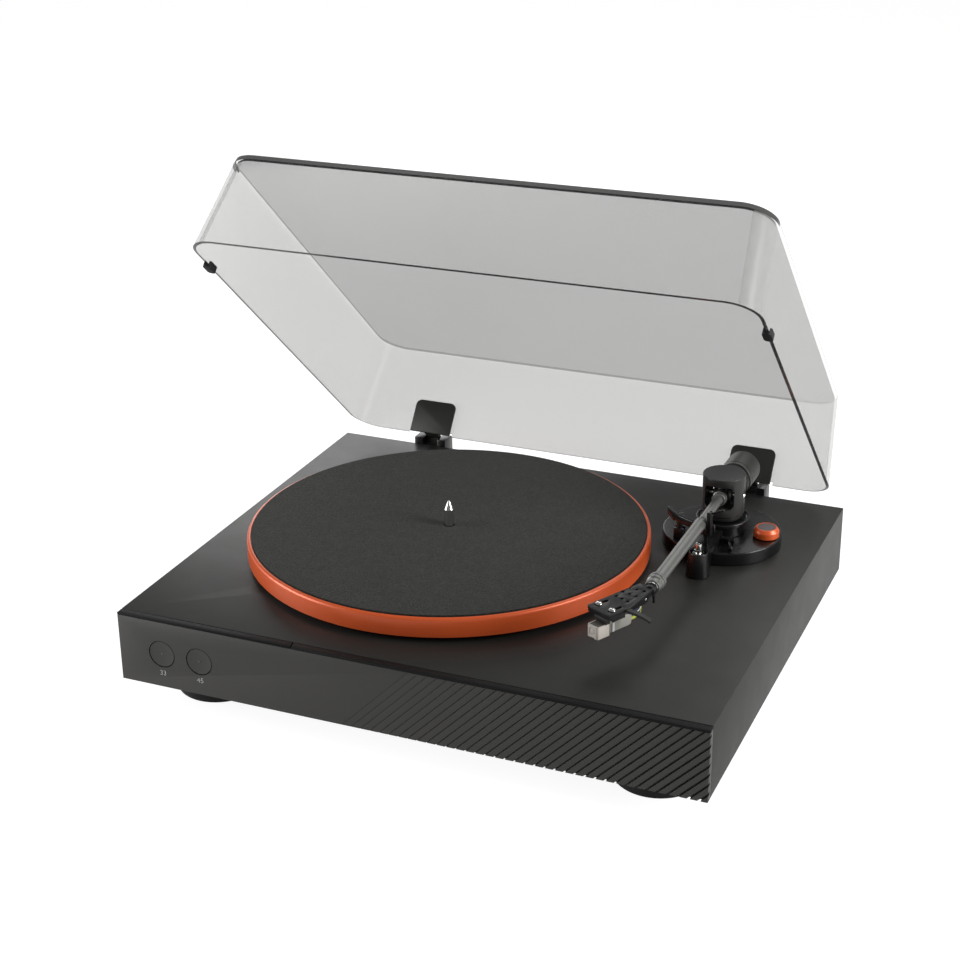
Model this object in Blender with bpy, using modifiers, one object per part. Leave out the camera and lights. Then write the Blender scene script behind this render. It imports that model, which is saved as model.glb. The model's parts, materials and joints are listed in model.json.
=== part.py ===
# Belt-drive bluetooth turntable with a hinged clear cover, shown open with the arm parked.
# Units are metres and +Z is up. The origin is under the middle of the whole object's box.
import math

import bmesh
import bpy
from mathutils import Matrix, Vector

# Clearances shared by every piece
GAP = 0.0003            # between pieces that seat on each other
RUN = 0.0005            # between pieces that move past each other
OVER = 0.003            # how far a cutter runs past the face it cuts
MERGE = 0.00001         # points nearer than this are one

# Plinth
PLINTH_W = 0.432        # left to right
PLINTH_D = 0.362        # front to back, fascia included
PLINTH_H = 0.053        # underside to top
WALL = 0.010            # side walls
TOP_T = 0.008           # top board
COVER_T = 0.003         # bottom cover
FOOT_H = 0.020
FOOT_R = 0.0305
FOOT_SOLE_R = 0.0275
FOOT_EDGE = 0.003
FOOT_INSET_X = 0.049    # foot centres from the plinth's sides
FOOT_INSET_Y = 0.0515   # foot centres from the plinth's front and back

# Front fascia, its grooves and the strip on top of it
FASCIA_T = 0.006
STRIP_T = 0.0015
STRIP_SINK = 0.0003     # strip top below the plinth top
SLIT_X = -0.079         # slanted slit between the two strips
SLIT_W = 0.0010
SLIT_LEAN = 0.0016
GROOVE_PITCH = 0.007    # measured along the front
GROOVE_START = -0.042   # where the first groove meets the lower edge
GROOVE_W_FINE = 0.0003
GROOVE_W_BOLD = 0.0011
GROOVE_DEPTH_FINE = 0.0003
GROOVE_DEPTH_BOLD = 0.0018
GROOVE_LEAN = math.radians(45)

# Speed buttons
BUTTON_R = 0.0100
BUTTON_RIM = 0.0004     # gap round a button
BUTTON_T = 0.0045
BUTTON_TRAVEL = 0.0010
BUTTON_INSET = 0.0343   # centre of the first button from the plinth's left side
BUTTON_STEP = 0.030     # to the second one
BUTTON_Z = 0.026        # above the plinth's underside
BUTTON_STEM_R = 0.0030
BUTTON_EDGE = 0.0006
BUTTON_SINK = 0.0003    # face behind the fascia's front

# Platter, mat, spindle and bearing
SPINDLE_X = -0.0403     # from the plinth's middle
SPINDLE_Y = 0.0
SPINDLE_R = 0.00355
SPINDLE_RISE = 0.019    # above the mat
SPINDLE_CONE = 0.007
SPINDLE_TIP_R = 0.0012
PLATTER_R = 0.150
PLATTER_T = 0.0148
PLATTER_GAP = 0.004     # under the platter
PLATTER_EDGE = 0.0016
PLATTER_RIM = 0.008     # rim wall
PLATTER_WEB = 0.004
RING_R = 0.0625         # belt track under the platter
RING_WALL = 0.004
RING_CLEAR = 0.0005     # track above the platter's underside
HUB_R = 0.014
HUB_CLEAR = 0.002
MAT_R = 0.1462
MAT_T = 0.0022
MAT_SINK = 0.0015       # depth of the recess that holds the mat
MAT_HOLE_CLEAR = 0.0006
WELL_R = 0.0085
WELL_DEPTH = 0.030
WELL_FLOOR = 0.003
WELL_FLANGE_R = 0.020
WELL_FLANGE_T = 0.0015
COLLAR_R = 0.0068

# Motor, pulley and belt
MOTOR_DX = -0.052       # from the spindle
MOTOR_DY = -0.074
MOTOR_R = 0.0175
MOTOR_H = 0.020
MOTOR_BOSS_R = 0.005
MOTOR_BORE_DEPTH = 0.014
MOTOR_PLATE_W = 0.056
MOTOR_PLATE_D = 0.030
MOTOR_PLATE_T = 0.002
PULLEY_R = 0.0055
PULLEY_LIP = 0.0012
PULLEY_LIP_T = 0.0012
PULLEY_SHAFT_R = 0.0012
PULLEY_HOLE_CLEAR = 0.002
PULLEY_LOW = 0.0028     # above the plinth top
PULLEY_HIGH_CLEAR = 0.001
BELT_T = 0.0006
BELT_H = 0.005
BELT_LOW = 0.0055       # above the plinth top

# Boards
BOARD_T = 0.0016
BOARD_W = 0.110
BOARD_D = 0.070
BOARD_SETBACK = 0.016   # main board from the rear wall
STANDOFF = 0.007
STANDOFF_R = 0.003
STANDOFF_INSET = 0.006
CHIP_SINK = 0.0004
CHIP_H = 0.011          # tallest part on the main board
BUTTON_BOARD_W = 0.058
BUTTON_BOARD_H = 0.022
BUTTON_BOARD_GAP = 0.008
SWITCH_SIZE = 0.006
SWITCH_T = 0.0035
PILLAR_R = 0.0025
PILLAR_INSET = 0.004

# Rear panel and what is in it
PANEL_OFFSET = 0.0143   # panel from the left hinge bracket
PANEL_W = 0.130
PANEL_H = 0.030
PANEL_T = 0.0025
PANEL_LOW = 0.012       # above the plinth's underside
JACK_X_RIGHT = -0.045   # places along the panel, from its middle
JACK_X_LEFT = -0.028
POST_X = -0.012
OUTPUT_X = 0.003
PAIR_X = 0.018
POWER_JACK_X = 0.036
ROCKER_X = 0.053
JACK_R = 0.0042
JACK_BORE_R = 0.0016
JACK_BORE = 0.007
JACK_FLANGE_R = 0.0055
JACK_FLANGE_T = 0.0015
JACK_LENGTH = 0.0095
JACK_TAIL = 0.006
POST_R = 0.0035
POST_LENGTH = 0.008
POST_STEM_R = 0.0015
POWER_JACK_R = 0.0055
POWER_JACK_BORE_R = 0.0030
POWER_JACK_BORE = 0.009
POWER_JACK_PIN_R = 0.0010
POWER_JACK_PIN_SINK = 0.0015
POWER_JACK_TAIL = 0.010
POWER_JACK_LIP = 0.0012
POWER_JACK_LIP_T = 0.0010
OUTPUT_KNOB = 0.003
OUTPUT_PROUD = 0.002
OUTPUT_TAIL = 0.0035
OUTPUT_TRAVEL = 0.005
PAIR_R = 0.003
PAIR_TRAVEL = 0.0008
PAIR_LEFT = 0.0004      # still proud when pressed
PAIR_TAIL = 0.004
ROCKER_W = 0.012
ROCKER_H = 0.009
ROCKER_PROUD = 0.0022
ROCKER_TAIL = 0.0030
ROCKER_CLEAR = 0.0011
ROCKER_TILT = math.radians(9)

# Clear cover, shown open. It is laid out closed and then turned about the hinge axis.
LID_OPEN = math.radians(42.1)
LID_RIM_W = 0.412
LID_RIM_D = 0.351
LID_H = 0.0726
LID_DRAFT = 0.0067      # how far each wall leans in from rim to top
LID_T = 0.003
LID_CORNER_R = 0.023
LID_MARGIN = 0.005      # closed rim from the plinth's rear edge
LID_LIFT = 0.003        # closed rim above the plinth
NOTCH_W = 0.0394        # cut in the rear rim for each hinge
NOTCH_H = 0.0032
BUMPER_L = 0.0125
BUMPER_SETBACK = 0.044  # bumper centre from the front rim
BUMPER_WALL = 0.0016
BUMPER_LIP = 0.002

# Lid hinges
HINGE_INSET = 0.0677    # hinge middles from the cover's side rims
HINGE_BACK = 0.0056     # axis behind the plinth
HINGE_DROP = 0.0055     # axis below the plinth top
HINGE_W = 0.028
HINGE_TAB_W = 0.012
HINGE_D = 0.016
HINGE_RISE = 0.011      # cheek top above the axis
HINGE_FALL = 0.018      # bracket foot below the axis
HINGE_EDGE = 0.004
KNUCKLE_R = 0.0047
PIN_R = 0.0018
CLIP_W = 0.036
CLIP_T = 0.0025
CLIP_H = 0.028
CLIP_CORNER_R = 0.005
CLIP_ARM_T = 0.0024
CLIP_TAB_T = 0.005

# Arm base, pillar and column
PIVOT_X = 0.1447        # from the plinth's middle
PIVOT_Y = 0.0877
ARM_Z = 0.0394          # arm axis above the plinth top
BASE_R = 0.0444
BASE_T = 0.0105
BASE_EDGE = 0.0008
SLEEVE_R = 0.011
SLEEVE_DROP = 0.008     # below the top board
NUT_R = 0.016
NUT_T = 0.004
PILLAR_LOW_R = 0.0180
PILLAR_LIP_R = 0.0198
PILLAR_LIP_T = 0.0026
PILLAR_TOP = 0.0215     # above the plinth top
COLUMN_R = 0.0159
COLUMN_FOOT_R = 0.0150
COLUMN_FOOT_H = 0.0040
COLUMN_TOP = 0.0556     # above the plinth top
COLUMN_EDGE = 0.0006
SPIGOT_R = 0.006
SPIGOT_L = 0.024
WINDOW_W = 0.0222
WINDOW_H = 0.0177
WINDOW_RISE = 0.0014    # window middle above the arm axis
WINDOW_CORNER_R = 0.004
PIVOT_SCREW_R = 0.0021
PIVOT_SCREW_PROUD = 0.0006

# Arm, along -Y from the pivot, and turned a little inwards
ARM_YAW = math.radians(0.2)
TUBE_R = 0.0045
TUBE_THIN_R = 0.0034
TUBE_SHOULDER = 0.054   # from the pivot to where the thicker tube starts
TUBE_SHOULDER_L = 0.004
TUBE_END = 0.1565
NECK_R = 0.0034
NECK_END = 0.1690
BLOCK_R = 0.0056
BLOCK_FRONT = 0.014
BLOCK_BACK = 0.011
BLOCK_HALF = 0.0070     # half width of the cross block between the pivot screws
STUB_R = 0.0040
RING_BIG_R = 0.0064
RING_BIG_L = 0.007
RING_SMALL_R = 0.0054
DIAL_FRONT = 0.0186     # behind the pivot
DIAL_L = 0.0088
DIAL_R = 0.0124
WEIGHT_END = 0.0545
WEIGHT_R = 0.0130
WEIGHT_EDGE = 0.0008
WEIGHT_CAP_T = 0.0012   # closed back of the counterweight's bore
WEIGHT_TRAVEL = 0.002   # each way, for one turn of the dial

# Headshell, given in the arm's own frame: x to the right, y along the arm
HEAD_TOP = 0.0025       # plate top above the arm axis
HEAD_T = 0.0020
HEAD_LIP = 0.0042       # depth of the front edge
HEAD_ANGLE = math.radians(27)
HEAD_REAR = 0.1705
HEAD_FRONT = 0.2181     # middle of the front edge
HEAD_FRONT_X = -0.0207
HEAD_FRONT_W = 0.0206
HEAD_REAR_W = 0.0110
HEAD_REAR_X = -0.0022
HEAD_SHOULDER = 0.1806  # where the left edge bends
HEAD_SHOULDER_X = -0.0133
HEAD_STEP = 0.2078      # where the side flange ends
HEAD_STEP_X = -0.0027
HEAD_SIDE_T = 0.0014
HEAD_SIDE_H = 0.0125
HEAD_SIDE_TIP = 0.0035
HEAD_ARCH_R = 0.0052
HEAD_ARCH_RISE = 0.0025 # arch's middle above the flange's lowest edge
HEAD_ARCH_END = math.radians(30)
HEAD_PLUG_R = 0.0036
HEAD_PLUG_L = 0.006
HEAD_HOLE_R = 0.0013
HEAD_HOLE_STEP = 0.0054
HEAD_SLOT_W = 0.0030
HEAD_SLOT_L = 0.0120
HEAD_SLOT_SHIFT = 0.0024
CART_SCREW_STEP = 0.0127
CART_SCREW_SHIFT = 0.0066   # screws behind the front edge
CART_SCREW_HEAD_R = 0.0025
CART_SCREW_HEAD_H = 0.0011
CART_SCREW_R = 0.0010
LIFT_L = 0.0160
LIFT_R = 0.0015
LIFT_DROP = 0.0040
LIFT_SWEEP = -0.0010
LIFT_STEPS = 6
LIFT_SETBACK = 0.0140   # finger lift behind the front edge

# Cartridge and stylus, in the headshell's turned frame
CART_W = 0.0160
CART_L = 0.0170
CART_H = 0.0073
CART_TOP_CLEAR = 0.0003
CART_BACK_W = 0.0105
CART_BACK_L = 0.0065
CART_BACK_H = 0.0058
CART_PIN_R = 0.0005
CART_PIN_L = 0.0035
STYLUS_W = 0.0101
STYLUS_L = 0.0108
STYLUS_H = 0.0095
STYLUS_PROUD = 0.0050   # in front of the headshell
STYLUS_NOSE = 0.0012    # tip below the holder
STYLUS_NOSE_R = 0.0005
STYLUS_BACK = 0.0024    # tip behind the holder's front

# Arm rest, lift and small controls, from the pivot
BOSS_DX = 0
BOSS_DY = -0.0618
BOSS_R = 0.0090
BOSS_TOP_R = 0.0068
BOSS_H = 0.0185
BOSS_PIN_R = 0.0024
BOSS_PIN_H = 0.0075
BEAM_LEFT = -0.0070
BEAM_RIGHT = 0.0056
BEAM_TOP = 0.0185       # above the plinth top
REST_DY = -0.0577
REST_L = 0.0060
REST_CHEEK = 0.0013     # cheek in front of the clip's barrel
REST_T = 0.0030
REST_LOW_CLEAR = 0.0004
REST_HIGH = 0.0100      # upright above the arm axis
CLIP_ROD_R = 0.0009
CLIP_ROD_L = 0.0105
CLIP_ROD_RISE = 0.0045
CLIP_BARREL_R = 0.0017
ARC_R = 0.0468
ARC_DX = 0.0050         # centre of the rail's curve, to the right of the pivot
ARC_W = 0.0030
ARC_T = 0.0060
ARC_FROM = math.radians(-3)
ARC_TO = math.radians(56)
ARC_CLEAR = 0.0006      # under the arm tube
ARC_TRAVEL = 0.0050
PLUNGER_DX = -0.0250
PLUNGER_DY = -0.0275
PLUNGER_R = 0.0022
PLUNGER_FOOT = 0.0025   # lowered plunger above the plinth top
GUIDE_R = 0.0038
GUIDE_H = 0.0090
LEVER_DX = 0.0110
LEVER_DY = -0.0235
LEVER_Z = 0.0134        # above the plinth top
LEVER_BARREL_W = 0.0068
LEVER_BARREL_R = 0.0024
LEVER_PIN_R = 0.0010
LEVER_EAR_T = 0.0015
LEVER_EAR_D = 0.0044
LEVER_ROD_R = 0.0011
LEVER_REACH = 0.0150
LEVER_SIDE = 0.0065
LEVER_PAD = 0.0018
KNOB_DX = 0.0343
KNOB_DY = -0.0018
KNOB_R = 0.0095
KNOB_TOP_R = 0.0078
KNOB_H = 0.0075
KNOB_CHAMFER = 0.0022

# Shares of a piece's own sizes
BLOCK_CROSS_SHARE = 0.9
BUMPER_CORNER_SHARE = 0.45
CART_SCREW_SHARE = 1 / 3     # how deep a screw goes into the cartridge
CHIP_SHARES = ((-0.34, -0.25, 0.16, 0.22, 0.73), (0.0, -0.22, 0.26, 0.36, 0.2),
               (0.30, 0.20, 0.22, 0.30, 0.27),
               (-0.15, 0.28, 0.12, 0.16, 1.0), (0.32, -0.28, 0.14, 0.18, 0.55))
CLIP_ROD_SHARES = (0, 0.3, 0.7, 1)
HOLE_ROW_SHARES = ((0.21, 0.26, 0.2), (0.375, 0.39, 0.6), (0.55, 0.52, 1.0))
LEVER_SHARES = ((0, 0, 0), (0.3, 0.35, 1), (0.7, 0.7, 1), (1, 1, 0))

# Round counts
FINE = 64
ROUND = 32
MEDIUM = 24
SMALL = 16
TINY = 8
COLUMN_STEPS = 48
CORNER_STEPS = 8
FEW_STEPS = 4
EDGE_STEPS = 3

# Levels and the shift that puts the origin under the middle of the box
TOP = FOOT_H + PLINTH_H
FRONT = -PLINTH_D / 2
BACK = PLINTH_D / 2
BODY_FRONT = FRONT + FASCIA_T + GAP
FOOT_X = PLINTH_W / 2 - FOOT_INSET_X
FOOT_Y = PLINTH_D / 2 - FOOT_INSET_Y
BUTTON_X = BUTTON_INSET - PLINTH_W / 2
HINGE_X = LID_RIM_W / 2 - HINGE_INSET
PANEL_X = PANEL_OFFSET + (HINGE_W + PANEL_W) / 2 - HINGE_X
BOARD_X = PANEL_X
BOARD_Y = BACK - WALL - BOARD_SETBACK - BOARD_D / 2
AXIS_Y = BACK + HINGE_BACK
AXIS_Z = TOP - HINGE_DROP
RIM_BACK = BACK - LID_MARGIN
RIM_FRONT = RIM_BACK - LID_RIM_D
RIM_Z = TOP + LID_LIFT
OPEN_REAR = (AXIS_Y + (RIM_BACK - LID_DRAFT - AXIS_Y) * math.cos(LID_OPEN)
             + (RIM_Z + LID_H - AXIS_Z) * math.sin(LID_OPEN))
SHIFT_Y = -(FRONT + OPEN_REAR) / 2


def clear_scene():
    for old in list(bpy.data.objects):
        bpy.data.objects.remove(old, do_unlink=True)


def collection(name):
    group = bpy.data.collections.new(name)
    bpy.context.scene.collection.children.link(group)
    return group


def material(name, colour, roughness, metallic=0.0, alpha=1.0):
    mat = bpy.data.materials.new(name)
    mat.use_nodes = True
    shader = mat.node_tree.nodes["Principled BSDF"]
    shader.inputs["Base Color"].default_value = (*colour, 1.0)
    shader.inputs["Roughness"].default_value = roughness
    shader.inputs["Metallic"].default_value = metallic
    shader.inputs["Alpha"].default_value = alpha
    return mat


clear_scene()
PARTS = collection("bluetooth_turntable")
CUTTERS = collection("cutters")
MATERIALS = {
    "black_vinyl": material("black_vinyl", (0.030, 0.030, 0.028), 0.55),
    "black_plastic": material("black_plastic", (0.010, 0.010, 0.010), 0.35),
    "grey_plastic": material("grey_plastic", (0.050, 0.050, 0.048), 0.45),
    "orange_metal": material("orange_metal", (0.60, 0.13, 0.045), 0.38, 0.6),
    "felt": material("felt", (0.018, 0.018, 0.017), 0.95),
    "rubber": material("rubber", (0.012, 0.012, 0.012), 0.7),
    "chrome": material("chrome", (0.75, 0.75, 0.75), 0.12, 1.0),
    "steel": material("steel", (0.55, 0.55, 0.55), 0.30, 1.0),
    "dark_metal": material("dark_metal", (0.085, 0.085, 0.083), 0.35, 0.8),
    "smoke_clear": material("smoke_clear", (0.45, 0.45, 0.43), 0.05, 0.0, 0.35),
    "warm_grey": material("warm_grey", (0.42, 0.40, 0.37), 0.5),
    "board_green": material("board_green", (0.02, 0.12, 0.05), 0.5),
    "brass": material("brass", (0.62, 0.45, 0.18), 0.3, 1.0),
}


def link(name, mesh, mat, group=None):
    obj = bpy.data.objects.new(name, mesh)
    (group or PARTS).objects.link(obj)
    if mat:
        obj.data.materials.append(MATERIALS[mat])
    return obj


def as_cutter(obj):
    for group in list(obj.users_collection):
        group.objects.unlink(obj)
    CUTTERS.objects.link(obj)
    obj.hide_render = True
    obj.display_type = "WIRE"
    return obj


def combine(target, tool, operation):
    as_cutter(tool)
    step = target.modifiers.new(operation.lower() + "_" + tool.name, "BOOLEAN")
    step.operation = operation
    step.object = tool
    step.solver = "EXACT"
    return target


def cut(target, tool):
    return combine(target, tool, "DIFFERENCE")


def join(target, tool):
    return combine(target, tool, "UNION")


def box(name, low, high, mat=None):
    bm = bmesh.new()
    bmesh.ops.create_cube(bm, size=1.0)
    low, high = Vector(low), Vector(high)
    middle = (low + high) / 2
    for vert in bm.verts:
        vert.co = Vector([m + c * (h - l) for m, c, h, l in zip(middle, vert.co, high, low)])
    mesh = bpy.data.meshes.new(name)
    bm.to_mesh(mesh)
    bm.free()
    return link(name, mesh, mat)


def turned(name, profile, mat=None, matrix=Matrix.Identity(4), steps=ROUND):
    # The profile is (radius, height) pairs. It runs out along the top and down the outer side.
    closed = profile[0][0] > 0
    mesh = bpy.data.meshes.new(name)
    count = len(profile)
    edges = [(i, i + 1) for i in range(count - 1)]
    if closed:
        edges.append((count - 1, 0))
    mesh.from_pydata([(r, 0, z) for r, z in profile], edges, [])
    obj = link(name, mesh, mat)
    obj.matrix_world = matrix
    screw = obj.modifiers.new("turn", "SCREW")
    screw.axis = "Z"
    screw.angle = math.tau
    screw.steps = steps
    screw.render_steps = steps
    screw.use_merge_vertices = True
    screw.merge_threshold = MERGE
    return obj


def rod(name, radius, start, end, mat=None, steps=SMALL):
    # A plain cylinder between two points.
    start, end = Vector(start), Vector(end)
    length = (end - start).length
    bm = bmesh.new()
    bmesh.ops.create_cone(bm, cap_ends=True, segments=steps, radius1=radius, radius2=radius, depth=length)
    mesh = bpy.data.meshes.new(name)
    bm.to_mesh(mesh)
    bm.free()
    obj = link(name, mesh, mat)
    turn = (end - start).to_track_quat("Z", "Y").to_matrix().to_4x4()
    obj.matrix_world = Matrix.Translation((start + end) / 2) @ turn
    return obj


def outline_solid(name, outlines, thickness, matrix, mat=None):
    # A flat outline, with any holes as further outlines, given thickness about its own plane.
    curve = bpy.data.curves.new(name, "CURVE")
    curve.dimensions = "2D"
    curve.fill_mode = "BOTH"
    curve.extrude = thickness / 2
    for outline in outlines:
        spline = curve.splines.new("POLY")
        spline.points.add(len(outline) - 1)
        for point, (x, y) in zip(spline.points, outline):
            point.co = (x, y, 0, 1)
        spline.use_cyclic_u = True
    guide = bpy.data.objects.new(name + "_outline", curve)
    CUTTERS.objects.link(guide)
    guide.matrix_world = matrix
    return meshed(guide, name, mat)


def meshed(guide, name, mat):
    # Turns a curve object into a mesh object with its caps welded.
    depsgraph = bpy.context.evaluated_depsgraph_get()
    depsgraph.update()
    mesh = bpy.data.meshes.new_from_object(guide.evaluated_get(depsgraph))
    bm = bmesh.new()
    bm.from_mesh(mesh)
    bmesh.ops.remove_doubles(bm, verts=bm.verts, dist=MERGE)
    bmesh.ops.recalc_face_normals(bm, faces=bm.faces)
    bm.to_mesh(mesh)
    bm.free()
    place = guide.matrix_world.copy()
    bpy.data.objects.remove(guide, do_unlink=True)
    mesh.materials.clear()
    obj = link(name, mesh, mat)
    obj.matrix_world = place
    return obj


def wire(name, points, radius, matrix, mat=None):
    # A round bar along a smooth line through a few points.
    curve = bpy.data.curves.new(name, "CURVE")
    curve.dimensions = "3D"
    curve.bevel_depth = radius
    curve.bevel_resolution = 2
    curve.use_fill_caps = True
    spline = curve.splines.new("POLY")
    spline.points.add(len(points) - 1)
    for point, co in zip(spline.points, points):
        point.co = (*co, 1)
    guide = bpy.data.objects.new(name + "_line", curve)
    CUTTERS.objects.link(guide)
    guide.matrix_world = matrix
    return meshed(guide, name, mat)


def arc(centre, radius, start, end, steps=CORNER_STEPS):
    # Points on a round stretch, angles in radians.
    cx, cy = centre
    angles = [start + (end - start) * i / steps for i in range(steps + 1)]
    return [(cx + radius * math.cos(a), cy + radius * math.sin(a)) for a in angles]


def rounded(width, depth, radius, centre=(0, 0), steps=CORNER_STEPS):
    # A rectangle with round corners, counter-clockwise.
    cx, cy = centre
    x, y = width / 2 - radius, depth / 2 - radius
    quarter = math.pi / 2
    points = []
    for i, (sx, sy) in enumerate(((1, 1), (-1, 1), (-1, -1), (1, -1))):
        points += arc((cx + sx * x, cy + sy * y), radius, i * quarter, (i + 1) * quarter, steps)
    return points


def at(x, y, z=0):
    # A place given from the plinth's middle, moved to the object's frame.
    return Vector((x, y + SHIFT_Y, z))


def upright(x, y, z=0):
    return Matrix.Translation(at(x, y, z))


def along(direction, place):
    # Local Z turned to a direction, at a place.
    turn = Vector(direction).to_track_quat("Z", "Y").to_matrix().to_4x4()
    return Matrix.Translation(place) @ turn


def axis_empty(name, place, rotation=Matrix.Identity(4)):
    empty = bpy.data.objects.new(name, None)
    empty.empty_display_size = KNOB_R
    PARTS.objects.link(empty)
    empty.matrix_world = Matrix.Translation(place) @ rotation
    return empty


def carry(obj, empty, place):
    # The piece was laid out with its axis at place, unturned, and now follows the empty.
    own = obj.matrix_world.copy()
    obj.parent = empty
    obj.matrix_parent_inverse = Matrix.Translation(-Vector(place))
    obj.matrix_basis = own


def carry_all(objects, empty, place):
    for obj in objects:
        carry(obj, empty, place)


# Cutters named for a moving piece follow it too
def tools_of(obj):
    return [step.object for step in obj.modifiers if step.type == "BOOLEAN"]


def with_tools(*objects):
    found = []
    for obj in objects:
        found += [obj] + tools_of(obj)
    return found


BUTTON_XS = (BUTTON_X, BUTTON_X + BUTTON_STEP)
BUTTON_LEVEL = FOOT_H + BUTTON_Z
MOTOR_X = SPINDLE_X + MOTOR_DX
MOTOR_Y = SPINDLE_Y + MOTOR_DY
PANEL_MID = FOOT_H + PANEL_LOW + PANEL_H / 2


def plinth_body():
    body = box("plinth_body", at(-PLINTH_W / 2, BODY_FRONT, FOOT_H), at(PLINTH_W / 2, BACK, TOP),
               "black_vinyl")
    inside = box("plinth_inside", at(-PLINTH_W / 2 + WALL, BODY_FRONT + WALL, FOOT_H - OVER),
                 at(PLINTH_W / 2 - WALL, BACK - WALL, TOP - TOP_T))
    cut(body, inside)
    for i, x in enumerate(BUTTON_XS):
        cut(body, rod("stem_bore_%d" % i, BUTTON_STEM_R + GAP, at(x, BODY_FRONT - OVER, BUTTON_LEVEL),
                      at(x, BODY_FRONT + WALL + OVER, BUTTON_LEVEL)))
    cut(body, rod("well_hole", WELL_R + GAP, at(SPINDLE_X, SPINDLE_Y, TOP - TOP_T - OVER),
                  at(SPINDLE_X, SPINDLE_Y, TOP + OVER), steps=ROUND))
    cut(body, rod("pulley_hole", PULLEY_R + PULLEY_LIP + PULLEY_HOLE_CLEAR,
                  at(MOTOR_X, MOTOR_Y, TOP - TOP_T - OVER),
                  at(MOTOR_X, MOTOR_Y, TOP + OVER), steps=ROUND))
    cut(body, rod("sleeve_hole", SLEEVE_R + GAP, at(PIVOT_X, PIVOT_Y, TOP - TOP_T - OVER),
                  at(PIVOT_X, PIVOT_Y, TOP + OVER), steps=ROUND))
    cut(body, box("panel_hole", at(PANEL_X - PANEL_W / 2 - GAP, BACK - WALL - OVER,
                                   PANEL_MID - PANEL_H / 2 - GAP),
                  at(PANEL_X + PANEL_W / 2 + GAP, BACK + OVER, PANEL_MID + PANEL_H / 2 + GAP)))
    return body


def bottom_cover():
    return box("bottom_cover", at(-PLINTH_W / 2 + WALL + GAP, BODY_FRONT + WALL + GAP, FOOT_H),
               at(PLINTH_W / 2 - WALL - GAP, BACK - WALL - GAP, FOOT_H + COVER_T), "black_plastic")


def groove_tool():
    # One mesh of slanted bars, finer and shallower towards the left.
    bm = bmesh.new()
    first = GROOVE_START
    count = int((PLINTH_W / 2 - first) / GROOVE_PITCH) + 1
    height = PLINTH_H / math.sin(GROOVE_LEAN) + 2 * PLINTH_H
    for i in range(count):
        share = i / (count - 1)
        width = GROOVE_W_FINE + (GROOVE_W_BOLD - GROOVE_W_FINE) * share
        depth = GROOVE_DEPTH_FINE + (GROOVE_DEPTH_BOLD - GROOVE_DEPTH_FINE) * share
        made = bmesh.ops.create_cube(bm, size=1.0)["verts"]
        bmesh.ops.scale(bm, verts=made, vec=(width, depth + OVER, height))
        bmesh.ops.rotate(bm, verts=made, matrix=Matrix.Rotation(GROOVE_LEAN, 3, "Y"))
        place = at(first + i * GROOVE_PITCH, FRONT + (depth - OVER) / 2, FOOT_H)
        bmesh.ops.translate(bm, verts=made, vec=place)
    mesh = bpy.data.meshes.new("grooves")
    bm.to_mesh(mesh)
    bm.free()
    return link("grooves", mesh, None)


def front_fascia():
    fascia = box("front_fascia", at(-PLINTH_W / 2, FRONT, FOOT_H),
                 at(PLINTH_W / 2, FRONT + FASCIA_T, TOP - STRIP_T - STRIP_SINK - GAP), "grey_plastic")
    for i, x in enumerate(BUTTON_XS):
        cut(fascia, rod("button_bore_%d" % i, BUTTON_R + BUTTON_RIM, at(x, FRONT - OVER, BUTTON_LEVEL),
                        at(x, FRONT + FASCIA_T + OVER, BUTTON_LEVEL), steps=ROUND))
    return cut(fascia, groove_tool())


def edge_strip(name, left, right, left_lean, right_lean):
    low = TOP - STRIP_SINK - STRIP_T
    front, back = FRONT, FRONT + FASCIA_T
    outline = [(left + left_lean, front), (right + right_lean, front), (right - right_lean, back),
               (left - left_lean, back)]
    return outline_solid(name, [outline], STRIP_T, upright(0, 0, low + STRIP_T / 2), "black_plastic")


def edge_strips():
    lean = SLIT_LEAN / 2
    edge_strip("edge_strip_left", -PLINTH_W / 2, SLIT_X - SLIT_W / 2, 0, lean)
    edge_strip("edge_strip_right", SLIT_X + SLIT_W / 2, PLINTH_W / 2, lean, 0)


def feet():
    top = FOOT_H - GAP
    for end, sy in (("front", -1), ("rear", 1)):
        for side, sx in (("left", -1), ("right", 1)):
            profile = [(0, top), (FOOT_R, top), (FOOT_R, top / 2),
                       (FOOT_SOLE_R + FOOT_EDGE / 2, FOOT_EDGE / 2),
                       (FOOT_SOLE_R, 0), (0, 0)]
            turned("foot_%s_%s" % (end, side), profile, "rubber", upright(sx * FOOT_X, sy * FOOT_Y))


def speed_buttons():
    # A pressed button's stem ends just short of its switch.
    switch = FASCIA_T + GAP + WALL + BUTTON_BOARD_GAP - SWITCH_T
    end = switch - BUTTON_TRAVEL - BUTTON_SINK - GAP
    for name, x in zip(("button_33", "button_45"), BUTTON_XS):
        profile = [(0, 0), (BUTTON_R - BUTTON_EDGE, 0), (BUTTON_R, -BUTTON_EDGE), (BUTTON_R, -BUTTON_T),
                   (BUTTON_STEM_R, -BUTTON_T), (BUTTON_STEM_R, -end), (0, -end)]
        turned(name, profile, "grey_plastic", along((0, -1, 0), at(x, FRONT + BUTTON_SINK, BUTTON_LEVEL)))


def bearing_well():
    low = TOP - WELL_DEPTH
    flange = TOP + GAP
    profile = [(0, low + WELL_FLOOR), (SPINDLE_R + GAP, low + WELL_FLOOR),
               (SPINDLE_R + GAP, flange + WELL_FLANGE_T),
               (WELL_FLANGE_R, flange + WELL_FLANGE_T), (WELL_FLANGE_R, flange), (WELL_R, flange),
               (WELL_R, low), (0, low)]
    return turned("bearing_well", profile, "brass", upright(SPINDLE_X, SPINDLE_Y))


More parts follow.
